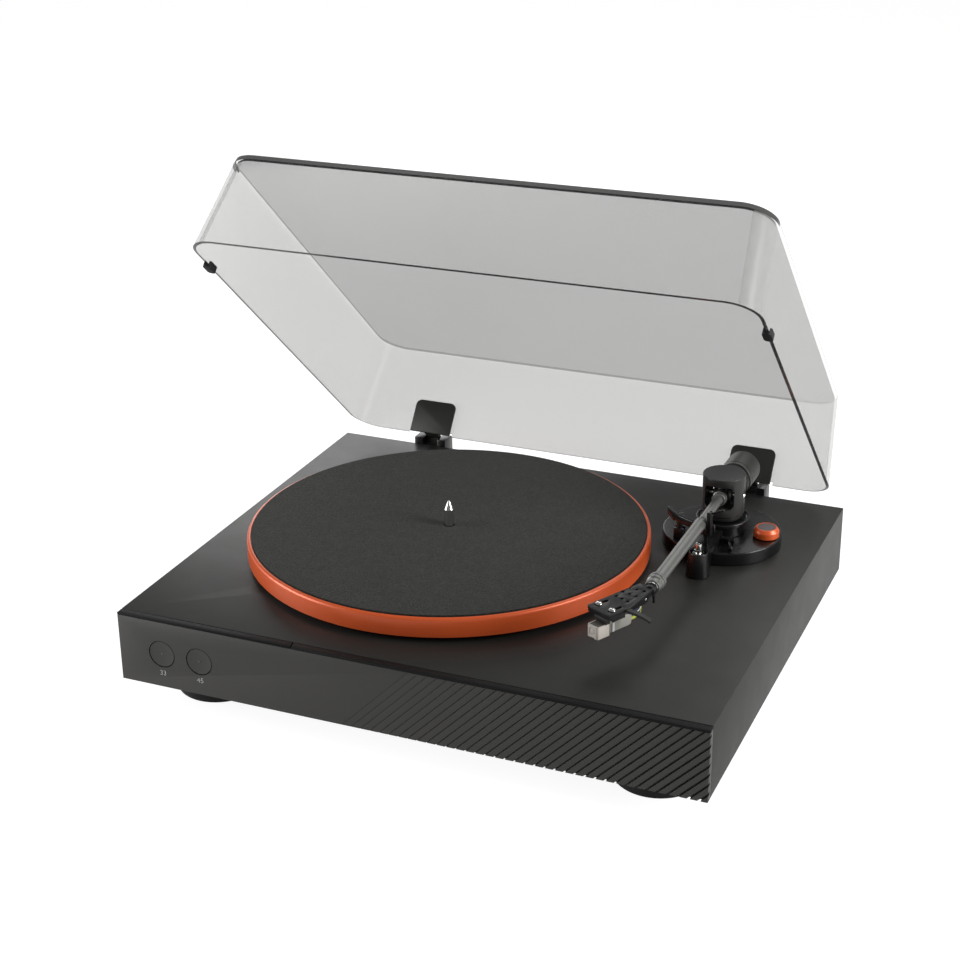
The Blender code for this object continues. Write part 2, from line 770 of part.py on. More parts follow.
PLATTER_LOW = TOP + PLATTER_GAP
PLATTER_HIGH = PLATTER_LOW + PLATTER_T
MAT_BED = PLATTER_HIGH - MAT_SINK
WEB_LOW = MAT_BED - PLATTER_WEB
HUB_LOW = PLATTER_LOW + HUB_CLEAR
MAT_TOP = MAT_BED + GAP + MAT_T


def platter():
    bore = SPINDLE_R + GAP
    bed_r = MAT_R + GAP
    edge = PLATTER_EDGE
    inner = PLATTER_R - PLATTER_RIM
    ring_low = PLATTER_LOW + RING_CLEAR
    profile = [(bore, MAT_BED), (bed_r, MAT_BED), (bed_r, PLATTER_HIGH)]
    profile += arc((PLATTER_R - edge, PLATTER_HIGH - edge), edge, math.pi / 2, 0, EDGE_STEPS)
    profile += [(PLATTER_R, PLATTER_LOW + edge / 2), (PLATTER_R - edge / 2, PLATTER_LOW),
                (inner, PLATTER_LOW),
                (inner, WEB_LOW), (RING_R, WEB_LOW), (RING_R, ring_low), (RING_R - RING_WALL, ring_low),
                (RING_R - RING_WALL, WEB_LOW), (HUB_R, WEB_LOW), (HUB_R, HUB_LOW), (bore, HUB_LOW)]
    return turned("platter", profile, "orange_metal", upright(SPINDLE_X, SPINDLE_Y), FINE)


def slip_mat():
    low = MAT_BED + GAP
    hole = SPINDLE_R + MAT_HOLE_CLEAR
    profile = [(hole, MAT_TOP), (MAT_R, MAT_TOP), (MAT_R, low), (hole, low)]
    return turned("slip_mat", profile, "felt", upright(SPINDLE_X, SPINDLE_Y), FINE)


def spindle():
    tip = MAT_TOP + SPINDLE_RISE
    collar_high = HUB_LOW - GAP
    collar_low = TOP + GAP + WELL_FLANGE_T + GAP
    end = TOP - WELL_DEPTH + WELL_FLOOR + GAP
    profile = [(0, tip), (SPINDLE_TIP_R, tip), (SPINDLE_R, tip - SPINDLE_CONE), (SPINDLE_R, collar_high),
               (COLLAR_R, collar_high), (COLLAR_R, collar_low), (SPINDLE_R, collar_low), (SPINDLE_R, end),
               (0, end)]
    return turned("spindle", profile, "chrome", upright(SPINDLE_X, SPINDLE_Y))


MOTOR_PLATE_TOP = TOP - TOP_T - GAP
MOTOR_TOP = MOTOR_PLATE_TOP - MOTOR_PLATE_T - GAP


def motor():
    floor = MOTOR_PLATE_TOP - MOTOR_BORE_DEPTH
    bore = PULLEY_SHAFT_R + GAP
    profile = [(0, floor), (bore, floor), (bore, MOTOR_PLATE_TOP), (MOTOR_BOSS_R, MOTOR_PLATE_TOP),
               (MOTOR_BOSS_R, MOTOR_TOP), (MOTOR_R, MOTOR_TOP), (MOTOR_R, MOTOR_TOP - MOTOR_H),
               (0, MOTOR_TOP - MOTOR_H)]
    return turned("motor", profile, "steel", upright(MOTOR_X, MOTOR_Y), steps=MEDIUM)


def motor_bracket():
    half_w, half_d = MOTOR_PLATE_W / 2, MOTOR_PLATE_D / 2
    plate = box("motor_bracket", at(MOTOR_X - half_w, MOTOR_Y - half_d, MOTOR_PLATE_TOP - MOTOR_PLATE_T),
                at(MOTOR_X + half_w, MOTOR_Y + half_d, MOTOR_PLATE_TOP), "steel")
    return cut(plate, rod("boss_hole", MOTOR_BOSS_R + GAP,
                          at(MOTOR_X, MOTOR_Y, MOTOR_PLATE_TOP - MOTOR_PLATE_T - OVER),
                          at(MOTOR_X, MOTOR_Y, MOTOR_PLATE_TOP + OVER), steps=MEDIUM))


def motor_pulley():
    low = TOP + PULLEY_LOW
    high = WEB_LOW - PULLEY_HIGH_CLEAR
    lip = PULLEY_R + PULLEY_LIP
    end = MOTOR_PLATE_TOP - MOTOR_BORE_DEPTH + GAP
    profile = [(0, high), (lip, high), (lip, high - PULLEY_LIP_T), (PULLEY_R, high - PULLEY_LIP_T),
               (PULLEY_R, low + PULLEY_LIP_T), (lip, low + PULLEY_LIP_T), (lip, low), (PULLEY_SHAFT_R, low),
               (PULLEY_SHAFT_R, end), (0, end)]
    return turned("motor_pulley", profile, "brass", upright(MOTOR_X, MOTOR_Y), steps=MEDIUM)


def belt_outline(offset):
    # The taut loop round the platter's track and the pulley.
    heading = math.atan2(MOTOR_DY, MOTOR_DX)
    reach = math.hypot(MOTOR_DX, MOTOR_DY)
    spread = math.acos((RING_R - PULLEY_R) / reach)
    big = arc((SPINDLE_X, SPINDLE_Y), RING_R + offset, heading + spread, heading + math.tau - spread,
              FINE // 2)
    small = arc((MOTOR_X, MOTOR_Y), PULLEY_R + offset, heading - spread, heading + spread, SMALL // 2)
    return big + small


def drive_belt():
    # The clearance also covers the flats of the faceted track.
    clear = GAP
    return outline_solid("drive_belt", [belt_outline(clear + BELT_T), belt_outline(clear)], BELT_H,
                         upright(0, 0, TOP + BELT_LOW + BELT_H / 2), "rubber")


def main_board():
    low = FOOT_H + COVER_T + STANDOFF
    half_w, half_d = BOARD_W / 2, BOARD_D / 2
    board = box("main_board", at(BOARD_X - half_w, BOARD_Y - half_d, low),
                at(BOARD_X + half_w, BOARD_Y + half_d, low + BOARD_T),
                "board_green")
    for i, (sx, sy) in enumerate(((-1, -1), (1, -1), (-1, 1), (1, 1))):
        x = BOARD_X + sx * (half_w - STANDOFF_INSET)
        y = BOARD_Y + sy * (half_d - STANDOFF_INSET)
        join(board, rod("standoff_%d" % i, STANDOFF_R, at(x, y, FOOT_H + COVER_T + GAP),
                        at(x, y, low + BOARD_T / 2)))
    for i, (u, v, w, d, h) in enumerate(CHIP_SHARES):
        x, y = BOARD_X + u * BOARD_W, BOARD_Y + v * BOARD_D
        w, d = w * BOARD_W / 2, d * BOARD_D / 2
        join(board, box("chip_%d" % i, at(x - w, y - d, low + BOARD_T - CHIP_SINK),
                        at(x + w, y + d, low + BOARD_T + h * CHIP_H)))
    return board


def button_board():
    inner = BODY_FRONT + WALL
    front = inner + BUTTON_BOARD_GAP
    mid = sum(BUTTON_XS) / 2
    half_w, half_h = BUTTON_BOARD_W / 2, BUTTON_BOARD_H / 2
    board = box("button_board", at(mid - half_w, front, BUTTON_LEVEL - half_h),
                at(mid + half_w, front + BOARD_T, BUTTON_LEVEL + half_h), "board_green")
    half = SWITCH_SIZE / 2
    for i, x in enumerate(BUTTON_XS):
        join(board, box("switch_%d" % i, at(x - half, front - SWITCH_T, BUTTON_LEVEL - half),
                        at(x + half, front + BOARD_T / 2, BUTTON_LEVEL + half)))
    for i, (sx, sz) in enumerate(((0, 1), (0, -1))):
        z = BUTTON_LEVEL + sz * (half_h - PILLAR_INSET)
        join(board, rod("pillar_%d" % i, PILLAR_R, at(mid, inner + GAP, z), at(mid, front + BOARD_T / 2, z)))
    return board


def panel_x(place):
    return PANEL_X + place


def rear_panel():
    panel = box("rear_panel", at(PANEL_X - PANEL_W / 2, BACK - PANEL_T, PANEL_MID - PANEL_H / 2),
                at(PANEL_X + PANEL_W / 2, BACK, PANEL_MID + PANEL_H / 2), "black_plastic")
    holes = ((JACK_X_RIGHT, JACK_R), (JACK_X_LEFT, JACK_R), (POST_X, POST_STEM_R), (PAIR_X, PAIR_R),
             (POWER_JACK_X, POWER_JACK_R))
    for i, (place, radius) in enumerate(holes):
        x = panel_x(place)
        cut(panel, rod("panel_hole_%d" % i, radius + GAP, at(x, BACK - PANEL_T - OVER, PANEL_MID),
                       at(x, BACK + OVER, PANEL_MID)))
    x = panel_x(OUTPUT_X)
    half = OUTPUT_KNOB / 2 + GAP
    cut(panel, box("output_slot", at(x - half, BACK - PANEL_T - OVER, PANEL_MID - half),
                   at(x + half + OUTPUT_TRAVEL, BACK + OVER, PANEL_MID + half)))
    x = panel_x(ROCKER_X)
    half_w, half_h = ROCKER_W / 2 + RUN, ROCKER_H / 2 + ROCKER_CLEAR
    cut(panel, box("rocker_hole", at(x - half_w, BACK - PANEL_T - OVER, PANEL_MID - half_h),
                   at(x + half_w, BACK + OVER, PANEL_MID + half_h)))
    return panel


def backwards(place):
    return along((0, 1, 0), at(panel_x(place), BACK, PANEL_MID))


def signal_jacks():
    for name, place in (("signal_jack_right", JACK_X_RIGHT), ("signal_jack_left", JACK_X_LEFT)):
        profile = [(0, JACK_LENGTH - JACK_BORE), (JACK_BORE_R, JACK_LENGTH - JACK_BORE),
                   (JACK_BORE_R, JACK_LENGTH),
                   (JACK_R, JACK_LENGTH), (JACK_R, JACK_FLANGE_T + GAP), (JACK_FLANGE_R, JACK_FLANGE_T + GAP),
                   (JACK_FLANGE_R, GAP), (JACK_R, GAP), (JACK_R, -JACK_TAIL), (0, -JACK_TAIL)]
        turned(name, profile, "brass", backwards(place), steps=SMALL)
    profile = [(0, POST_LENGTH), (POST_R, POST_LENGTH), (POST_R, GAP), (POST_STEM_R, GAP),
               (POST_STEM_R, -JACK_TAIL),
               (0, -JACK_TAIL)]
    turned("ground_post", profile, "steel", backwards(POST_X), steps=SMALL)
    lip = POWER_JACK_R + POWER_JACK_LIP
    high = POWER_JACK_LIP_T + GAP
    floor = high - POWER_JACK_BORE
    pin = high - POWER_JACK_PIN_SINK
    profile = [(0, pin), (POWER_JACK_PIN_R, pin), (POWER_JACK_PIN_R, floor), (POWER_JACK_BORE_R, floor),
               (POWER_JACK_BORE_R, high), (lip, high), (lip, GAP), (POWER_JACK_R, GAP),
               (POWER_JACK_R, -POWER_JACK_TAIL), (0, -POWER_JACK_TAIL)]
    turned("power_jack", profile, "black_plastic", backwards(POWER_JACK_X), steps=SMALL)


def rear_controls():
    x, half = panel_x(OUTPUT_X), OUTPUT_KNOB / 2
    box("output_switch", at(x - half, BACK - PANEL_T - OUTPUT_TAIL, PANEL_MID - half),
        at(x + half, BACK + OUTPUT_PROUD, PANEL_MID + half), "grey_plastic")
    proud = PAIR_TRAVEL + PAIR_LEFT
    profile = [(0, proud), (PAIR_R, proud), (PAIR_R, -PAIR_TAIL), (0, -PAIR_TAIL)]
    turned("pairing_button", profile, "grey_plastic", backwards(PAIR_X), steps=SMALL)
    place = at(panel_x(ROCKER_X), BACK - PANEL_T / 2, PANEL_MID)
    half_w, half_h = ROCKER_W / 2, ROCKER_H / 2
    rocker = box("power_rocker", place - Vector((half_w, ROCKER_TAIL, half_h)),
                 place + Vector((half_w, ROCKER_PROUD, half_h)),
                 "black_plastic")
    axis = axis_empty("rocker_axis", place, Matrix.Rotation(-ROCKER_TILT, 4, "X"))
    carry(rocker, axis, place)


# Side-view frame of the hinges: local X is back, local Y is up, local Z is to the left
def side_view(x):
    turn = Matrix(((0, 0, -1, 0), (1, 0, 0, 0), (0, 1, 0, 0), (0, 0, 0, 1)))
    return Matrix.Translation(at(x, 0, 0)) @ turn


def hinge_bracket(side, sx):
    x = sx * HINGE_X
    front = BACK + GAP
    rear = front + HINGE_D
    low, high = AXIS_Z - HINGE_FALL, AXIS_Z + HINGE_RISE
    corner = arc((rear - HINGE_EDGE, high - HINGE_EDGE), HINGE_EDGE, 0, math.pi / 2, FEW_STEPS)
    outline = [(front, low), (rear, low)] + corner + [(front, high)]
    bracket = outline_solid("hinge_bracket_" + side, [outline], HINGE_W, side_view(x), "black_plastic")
    slot = HINGE_TAB_W / 2 + RUN
    cut(bracket, box("hinge_slot_" + side, at(x - slot, front - OVER, AXIS_Z - KNUCKLE_R - RUN),
                     at(x + slot, rear + OVER, high + OVER)))
    half = HINGE_W / 2
    cut(bracket, rod("hinge_bore_" + side, PIN_R + GAP, at(x - half - OVER, AXIS_Y, AXIS_Z),
                     at(x + half + OVER, AXIS_Y, AXIS_Z)))
    rod("hinge_pin_" + side, PIN_R, at(x - half, AXIS_Y, AXIS_Z), at(x + half, AXIS_Y, AXIS_Z), "steel")


def lid_slope():
    return LID_DRAFT / LID_H


def hinge_clip(side, sx):
    # The plate lies on the inside of the cover's rear wall, and the tab reaches down to the pin.
    x = sx * HINGE_X
    slope = lid_slope()
    clear = GAP / math.cos(math.atan(slope))
    inner = RIM_BACK - LID_T - clear
    lean = math.atan(slope)
    frame = Matrix.Translation(at(x, inner - CLIP_T / 2, RIM_Z)) @ Matrix.Rotation(math.pi / 2 + lean, 4, "X")
    plate = outline_solid("hinge_clip_" + side, [rounded_top(CLIP_W, CLIP_H, CLIP_CORNER_R)], CLIP_T, frame,
                          "black_plastic")
    arm_high = RIM_Z + GAP + CLIP_ARM_T
    join(plate, box("clip_arm_" + side, at(x - HINGE_TAB_W / 2, inner - CLIP_T, RIM_Z + GAP),
                    at(x + HINGE_TAB_W / 2, AXIS_Y + CLIP_TAB_T / 2, arm_high)))
    join(plate, box("clip_tab_" + side, at(x - HINGE_TAB_W / 2, AXIS_Y - CLIP_TAB_T / 2, AXIS_Z),
                    at(x + HINGE_TAB_W / 2, AXIS_Y + CLIP_TAB_T / 2, arm_high - GAP)))
    join(plate, rod("clip_knuckle_" + side, KNUCKLE_R, at(x - HINGE_TAB_W / 2, AXIS_Y, AXIS_Z),
                    at(x + HINGE_TAB_W / 2, AXIS_Y, AXIS_Z), steps=ROUND))
    cut(plate, rod("clip_bore_" + side, PIN_R + GAP, at(x - HINGE_TAB_W, AXIS_Y, AXIS_Z),
                   at(x + HINGE_TAB_W, AXIS_Y, AXIS_Z)))
    return plate


def rounded_top(width, height, radius):
    # A plate standing on y = 0 with its two upper corners round.
    half = width / 2
    right = arc((half - radius, height - radius), radius, 0, math.pi / 2)
    left = arc((radius - half, height - radius), radius, math.pi / 2, math.pi)
    return [(half, 0)] + right + left + [(-half, 0)]


def dust_cover():
    # The outer skin is lofted from the rim to the top, then given its wall.
    middle = (RIM_BACK + RIM_FRONT) / 2
    rim = rounded(LID_RIM_W, LID_RIM_D, LID_CORNER_R)
    top = rounded(LID_RIM_W - 2 * LID_DRAFT, LID_RIM_D - 2 * LID_DRAFT, LID_CORNER_R)
    bm = bmesh.new()
    lower = [bm.verts.new((x, y, 0)) for x, y in rim]
    upper = [bm.verts.new((x, y, LID_H)) for x, y in top]
    count = len(rim)
    for i in range(count):
        j = (i + 1) % count
        bm.faces.new((lower[i], lower[j], upper[j], upper[i]))
    bm.faces.new(upper)
    bmesh.ops.remove_doubles(bm, verts=bm.verts, dist=MERGE)
    mesh = bpy.data.meshes.new("dust_cover")
    bm.to_mesh(mesh)
    bm.free()
    cover = link("dust_cover", mesh, "smoke_clear")
    cover.matrix_world = upright(0, middle, RIM_Z)
    wall = cover.modifiers.new("wall", "SOLIDIFY")
    wall.thickness = LID_T
    wall.offset = -1
    wall.use_even_offset = True
    for side, sx in (("left", -1), ("right", 1)):
        half = NOTCH_W / 2
        deep = LID_T + CLIP_T + OVER
        cut(cover, box("notch_" + side, at(sx * HINGE_X - half, RIM_BACK - deep, RIM_Z - OVER),
                       at(sx * HINGE_X + half, RIM_BACK + OVER, RIM_Z + NOTCH_H)))
    return cover


def lid_bumper(side, sx):
    # A soft clip that straddles the side rim and stands on the plinth when the cover is shut.
    clear = GAP + lid_slope() * BUMPER_LIP
    straddle = LID_T + 2 * clear + 2 * BUMPER_WALL
    mid_x = sx * (LID_RIM_W - LID_T) / 2
    mid_y = RIM_FRONT + BUMPER_SETBACK
    low, high = TOP + GAP, RIM_Z + BUMPER_LIP
    name = "lid_bumper_" + side
    outline = rounded(straddle, BUMPER_L, straddle * BUMPER_CORNER_SHARE, steps=FEW_STEPS)
    bumper = outline_solid(name, [outline], high - low, upright(mid_x, mid_y, (low + high) / 2), "rubber")
    half = LID_T / 2 + clear
    cut(bumper, box("bumper_slot_" + side, at(mid_x - half, mid_y - BUMPER_L, RIM_Z - GAP),
                    at(mid_x + half, mid_y + BUMPER_L, high + OVER)))
    return bumper


def lid():
    pieces = [dust_cover()]
    for side, sx in (("left", -1), ("right", 1)):
        hinge_bracket(side, sx)
        pieces += [hinge_clip(side, sx), lid_bumper(side, sx)]
    place = at(0, AXIS_Y, AXIS_Z)
    axis = axis_empty("lid_axis", place, Matrix.Rotation(-LID_OPEN, 4, "X"))
    carry_all(with_tools(*pieces), axis, place)


def from_pivot(dx, dy, dz=0):
    # A place given from the arm's pivot, with heights above the plinth top.
    return at(PIVOT_X + dx, PIVOT_Y + dy, TOP + dz)


def arm_base():
    low, high = GAP, BASE_T
    edge = BASE_EDGE
    profile = [(0, high), (BASE_R - edge, high), (BASE_R, high - edge), (BASE_R, low), (0, low)]
    base = turned("arm_base", profile, "black_plastic", Matrix.Translation(from_pivot(0, 0)), FINE)
    join(base, rod("arm_sleeve", SLEEVE_R, from_pivot(0, 0, -TOP_T - SLEEVE_DROP),
                   from_pivot(0, 0, BASE_T / 2), steps=ROUND))
    join(base, rod("plunger_guide", GUIDE_R, from_pivot(PLUNGER_DX, PLUNGER_DY, BASE_T / 2),
                   from_pivot(PLUNGER_DX, PLUNGER_DY, BASE_T + GUIDE_H)))
    cut(base, rod("plunger_bore", PLUNGER_R + GAP, from_pivot(PLUNGER_DX, PLUNGER_DY, -OVER),
                  from_pivot(PLUNGER_DX, PLUNGER_DY, BASE_T + GUIDE_H + OVER)))
    cut(base, rod("spigot_bore", SPIGOT_R + GAP, from_pivot(0, 0, -TOP_T - SLEEVE_DROP - OVER),
                  from_pivot(0, 0, BASE_T + OVER),
                  steps=ROUND))
    inner = LEVER_BARREL_W / 2 + GAP
    for i, sx in enumerate((-1, 1)):
        xs = sorted((LEVER_DX + sx * inner, LEVER_DX + sx * (inner + LEVER_EAR_T)))
        join(base, box("lever_ear_%d" % i, from_pivot(xs[0], LEVER_DY - LEVER_EAR_D / 2, BASE_T / 2),
                       from_pivot(xs[1], LEVER_DY + LEVER_EAR_D / 2, LEVER_Z + LEVER_EAR_D / 2)))
    reach = inner + LEVER_EAR_T + OVER
    cut(base, rod("lever_bore", LEVER_PIN_R + GAP, from_pivot(LEVER_DX - reach, LEVER_DY, LEVER_Z),
                  from_pivot(LEVER_DX + reach, LEVER_DY, LEVER_Z)))
    return base


def arm_nut():
    high = TOP - TOP_T - GAP
    bore = SLEEVE_R + GAP
    profile = [(bore, high), (NUT_R, high), (NUT_R, high - NUT_T), (bore, high - NUT_T)]
    return turned("arm_nut", profile, "steel", upright(PIVOT_X, PIVOT_Y), MEDIUM)


def arm_pillar():
    low = BASE_T + GAP
    lip_low = PILLAR_TOP - PILLAR_LIP_T
    bore = SPIGOT_R + GAP
    profile = [(bore, PILLAR_TOP), (PILLAR_LIP_R, PILLAR_TOP), (PILLAR_LIP_R, lip_low),
               (PILLAR_LOW_R, lip_low),
               (PILLAR_LOW_R, low), (bore, low)]
    return turned("arm_pillar", profile, "black_plastic", Matrix.Translation(from_pivot(0, 0)))


def lift_bracket():
    # The tapered post under the arm and the beam that ties it to the pillar.
    pin = BOSS_H + BOSS_PIN_H
    profile = [(0, pin), (BOSS_PIN_R, pin), (BOSS_PIN_R, BOSS_H), (BOSS_TOP_R, BOSS_H), (BOSS_R, GAP),
               (0, GAP)]
    bracket = turned("lift_bracket", profile, "black_plastic",
                     Matrix.Translation(from_pivot(BOSS_DX, BOSS_DY)))
    back = -math.sqrt(PILLAR_LOW_R ** 2 - BEAM_LEFT ** 2) - RUN - (PILLAR_LIP_R - PILLAR_LOW_R)
    join(bracket, box("beam", from_pivot(BEAM_LEFT, BOSS_DY, BASE_T + GAP),
                      from_pivot(BEAM_RIGHT, back, BEAM_TOP)))
    edge = -BASE_R - RUN
    join(bracket, box("beam_web", from_pivot(BEAM_LEFT + RUN, BOSS_DY, GAP),
                      from_pivot(BEAM_RIGHT - RUN, edge, BEAM_TOP - RUN)))
    return bracket


def tube_side(dy, reach):
    # Side of the arm tube at a distance along it, where the arm is parked.
    return dy * math.tan(ARM_YAW) + reach


def rest_post():
    # An upright beside the tube with a ledge that the tube lies over.
    under = ARM_Z - TUBE_R - REST_LOW_CLEAR
    y0, y1 = REST_DY - REST_L / 2, REST_DY + REST_L / 2
    side = tube_side(REST_DY, TUBE_R + REST_LOW_CLEAR)
    high = ARM_Z + REST_HIGH
    post = box("rest_post", from_pivot(side, y0, under - REST_T), from_pivot(side + REST_T, y1, high),
               "black_plastic")
    join(post, box("rest_ledge", from_pivot(-TUBE_R - REST_LOW_CLEAR, y0 + GAP, under - REST_T + GAP),
                   from_pivot(side + REST_T / 2, y1 - GAP, under)))
    join(post, box("rest_stem", from_pivot(BOSS_DX + BOSS_PIN_R + RUN, y0 + RUN, BEAM_TOP + GAP),
                   from_pivot(BEAM_RIGHT, y1 - RUN, under - REST_T / 2)))
    seat = high - 2 * CLIP_BARREL_R - 2 * RUN
    cut(post, box("clip_seat", from_pivot(side - OVER, y0 + REST_CHEEK, seat),
                  from_pivot(side + REST_T + OVER, y1 + OVER, high + OVER)))
    return post


def rest_clip():
    # The locking bar, turned out to the right and away from the tube.
    side = tube_side(REST_DY, TUBE_R + REST_LOW_CLEAR)
    x = side + REST_T / 2
    z = ARM_Z + REST_HIGH - CLIP_BARREL_R - RUN
    front, back = REST_DY - REST_L / 2 + REST_CHEEK + GAP, REST_DY + REST_L / 2
    clip = rod("rest_clip", CLIP_BARREL_R, from_pivot(x, front, z), from_pivot(x, back, z), "black_plastic")
    points = [(share * CLIP_ROD_L, 0, share * CLIP_ROD_RISE) for share in CLIP_ROD_SHARES]
    place = from_pivot(x, (front + back) / 2, z)
    join(clip, wire("clip_rod", points, CLIP_ROD_R, Matrix.Translation(place)))
    return clip


def lift_arc():
    # A curved rail under the tube, on a plunger that slides in the base.
    high = ARM_Z - TUBE_R - ARC_CLEAR
    start, end = -math.pi / 2 - ARC_TO, -math.pi / 2 - ARC_FROM
    outer = arc((0, 0), ARC_R + ARC_W / 2, start, end, SMALL)
    inner = arc((0, 0), ARC_R - ARC_W / 2, end, start, SMALL)
    rail = outline_solid("lift_arc", [outer + inner], ARC_T,
                         Matrix.Translation(from_pivot(ARC_DX, 0, high - ARC_T / 2)), "black_plastic")
    join(rail, rod("plunger", PLUNGER_R, from_pivot(PLUNGER_DX, PLUNGER_DY, PLUNGER_FOOT + ARC_TRAVEL),
                   from_pivot(PLUNGER_DX, PLUNGER_DY, high - ARC_T)))
    from_centre = PLUNGER_DX - ARC_DX
    turn = Matrix.Rotation(math.atan2(PLUNGER_DY, from_centre), 4, "Z")
    near, far = math.hypot(from_centre, PLUNGER_DY) - PLUNGER_R, ARC_R
    tab = box("lift_tab", (near, -PLUNGER_R, high - ARC_T - PLUNGER_R), (far, PLUNGER_R, high - ARC_T / 2))
    tab.matrix_world = Matrix.Translation(from_pivot(ARC_DX, 0)) @ turn
    return join(rail, tab)


def cue_lever():
    place = from_pivot(LEVER_DX, LEVER_DY, LEVER_Z)
    half = LEVER_BARREL_W / 2
    pin = half + GAP + LEVER_EAR_T
    lever = rod("cue_lever", LEVER_BARREL_R, place - Vector((half, 0, 0)), place + Vector((half, 0, 0)),
                "black_plastic")
    join(lever, rod("lever_pin", LEVER_PIN_R, place - Vector((pin, 0, 0)), place + Vector((pin, 0, 0))))
    points = [(x * LEVER_SIDE, -y * LEVER_REACH, z * LEVER_ROD_R) for x, y, z in LEVER_SHARES]
    join(lever, wire("lever_rod", points, LEVER_ROD_R, Matrix.Translation(place)))
    end = place + Vector(points[-1])
    reach = Vector((0, LEVER_PAD, 0))
    join(lever, rod("lever_pad", LEVER_PAD, end - reach, end + reach))
    return lever


def anti_skate_knob():
    low, high = BASE_T + GAP, BASE_T + GAP + KNOB_H
    profile = [(0, high), (KNOB_TOP_R, high), (KNOB_R, high - KNOB_CHAMFER), (KNOB_R, low), (0, low)]
    return turned("anti_skate_knob", profile, "orange_metal",
                  Matrix.Translation(from_pivot(KNOB_DX, KNOB_DY)))


def pivot_column():
    low = PILLAR_TOP + GAP
    foot = low + COLUMN_FOOT_H
    edge = COLUMN_EDGE
    profile = [(0, COLUMN_TOP), (COLUMN_R - edge, COLUMN_TOP), (COLUMN_R, COLUMN_TOP - edge),
               (COLUMN_R, foot),
               (COLUMN_FOOT_R, foot), (COLUMN_FOOT_R, low), (SPIGOT_R, low), (SPIGOT_R, low - SPIGOT_L),
               (0, low - SPIGOT_L)]
    column = turned("pivot_column", profile, "black_plastic", Matrix.Translation(from_pivot(0, 0)),
                    COLUMN_STEPS)
    frame = Matrix.Translation(from_pivot(0, 0, ARM_Z + WINDOW_RISE)) @ Matrix.Rotation(math.pi / 2, 4, "X")
    window = outline_solid("window", [rounded(WINDOW_W, WINDOW_H, WINDOW_CORNER_R, steps=FEW_STEPS)],
                           2 * COLUMN_R + 2 * OVER, frame)
    cut(column, window)
    reach = COLUMN_R + OVER
    cut(column, rod("screw_bore", PIVOT_SCREW_R + GAP, from_pivot(-reach, 0, ARM_Z),
                    from_pivot(reach, 0, ARM_Z)))
    return column


def pivot_screws():
    made = []
    for side, sx in (("left", -1), ("right", 1)):
        near, far = BLOCK_HALF + GAP, COLUMN_R + PIVOT_SCREW_PROUD
        made.append(rod("pivot_screw_" + side, PIVOT_SCREW_R, from_pivot(sx * near, 0, ARM_Z),
                        from_pivot(sx * far, 0, ARM_Z), "chrome"))
    return made


def down_arm(distance=0):
    # Turned pieces on the arm: local Z points back along the arm axis.
    return along((0, 1, 0), from_pivot(0, -distance, ARM_Z))


def arm_tube():
    # The stub behind the block ends short of the counterweight's cap, also when the weight is wound in.
    stub_end = WEIGHT_END - WEIGHT_CAP_T - WEIGHT_TRAVEL - RUN
    profile = [(0, stub_end), (STUB_R, stub_end), (STUB_R, BLOCK_BACK), (BLOCK_R, BLOCK_BACK),
               (BLOCK_R, -BLOCK_FRONT),
               (TUBE_THIN_R, -BLOCK_FRONT), (TUBE_THIN_R, -TUBE_SHOULDER),
               (TUBE_R, -TUBE_SHOULDER - TUBE_SHOULDER_L),
               (TUBE_R, -TUBE_END), (NECK_R, -TUBE_END), (NECK_R, -NECK_END), (0, -NECK_END)]
    tube = turned("arm_tube", profile, "dark_metal", down_arm(), MEDIUM)
    return join(tube, rod("cross_block", BLOCK_R * BLOCK_CROSS_SHARE, from_pivot(-BLOCK_HALF, 0, ARM_Z),
                          from_pivot(BLOCK_HALF, 0, ARM_Z), steps=MEDIUM))


def locking_ring():
    bore = NECK_R + GAP
    start = TUBE_END + GAP
    profile = [(bore, -start), (RING_BIG_R, -start), (RING_BIG_R, -start - RING_BIG_L),
               (RING_SMALL_R, -start - RING_BIG_L),
               (RING_SMALL_R, -NECK_END), (bore, -NECK_END)]
    return turned("locking_ring", profile, "dark_metal", down_arm(), MEDIUM)


def force_dial():
    bore = STUB_R + GAP
    front, back = DIAL_FRONT, DIAL_FRONT + DIAL_L
    profile = [(bore, back), (DIAL_R, back), (DIAL_R, front), (bore, front)]
    return turned("force_dial", profile, "black_plastic", down_arm())


def counterweight():
    bore = STUB_R + GAP
    front, edge = DIAL_FRONT + DIAL_L + GAP, WEIGHT_EDGE
    floor = WEIGHT_END - WEIGHT_CAP_T
    profile = [(0, WEIGHT_END), (WEIGHT_R - edge, WEIGHT_END), (WEIGHT_R, WEIGHT_END - edge),
               (WEIGHT_R, front), (bore, front),
               (bore, floor), (0, floor)]
    return turned("counterweight", profile, "dark_metal", down_arm())


def head_frame():
    # The cartridge's frame: origin in the middle of the front edge, local -Y pointing forwards.
    place = from_pivot(HEAD_FRONT_X, -HEAD_FRONT, ARM_Z)
    return Matrix.Translation(place) @ Matrix.Rotation(-HEAD_ANGLE, 4, "Z")


def head_point(x, y):
    # A point of the cartridge's frame, in the arm's frame.
    c, s = math.cos(HEAD_ANGLE), math.sin(HEAD_ANGLE)
    return (HEAD_FRONT_X + x * c + y * s, -HEAD_FRONT - x * s + y * c)


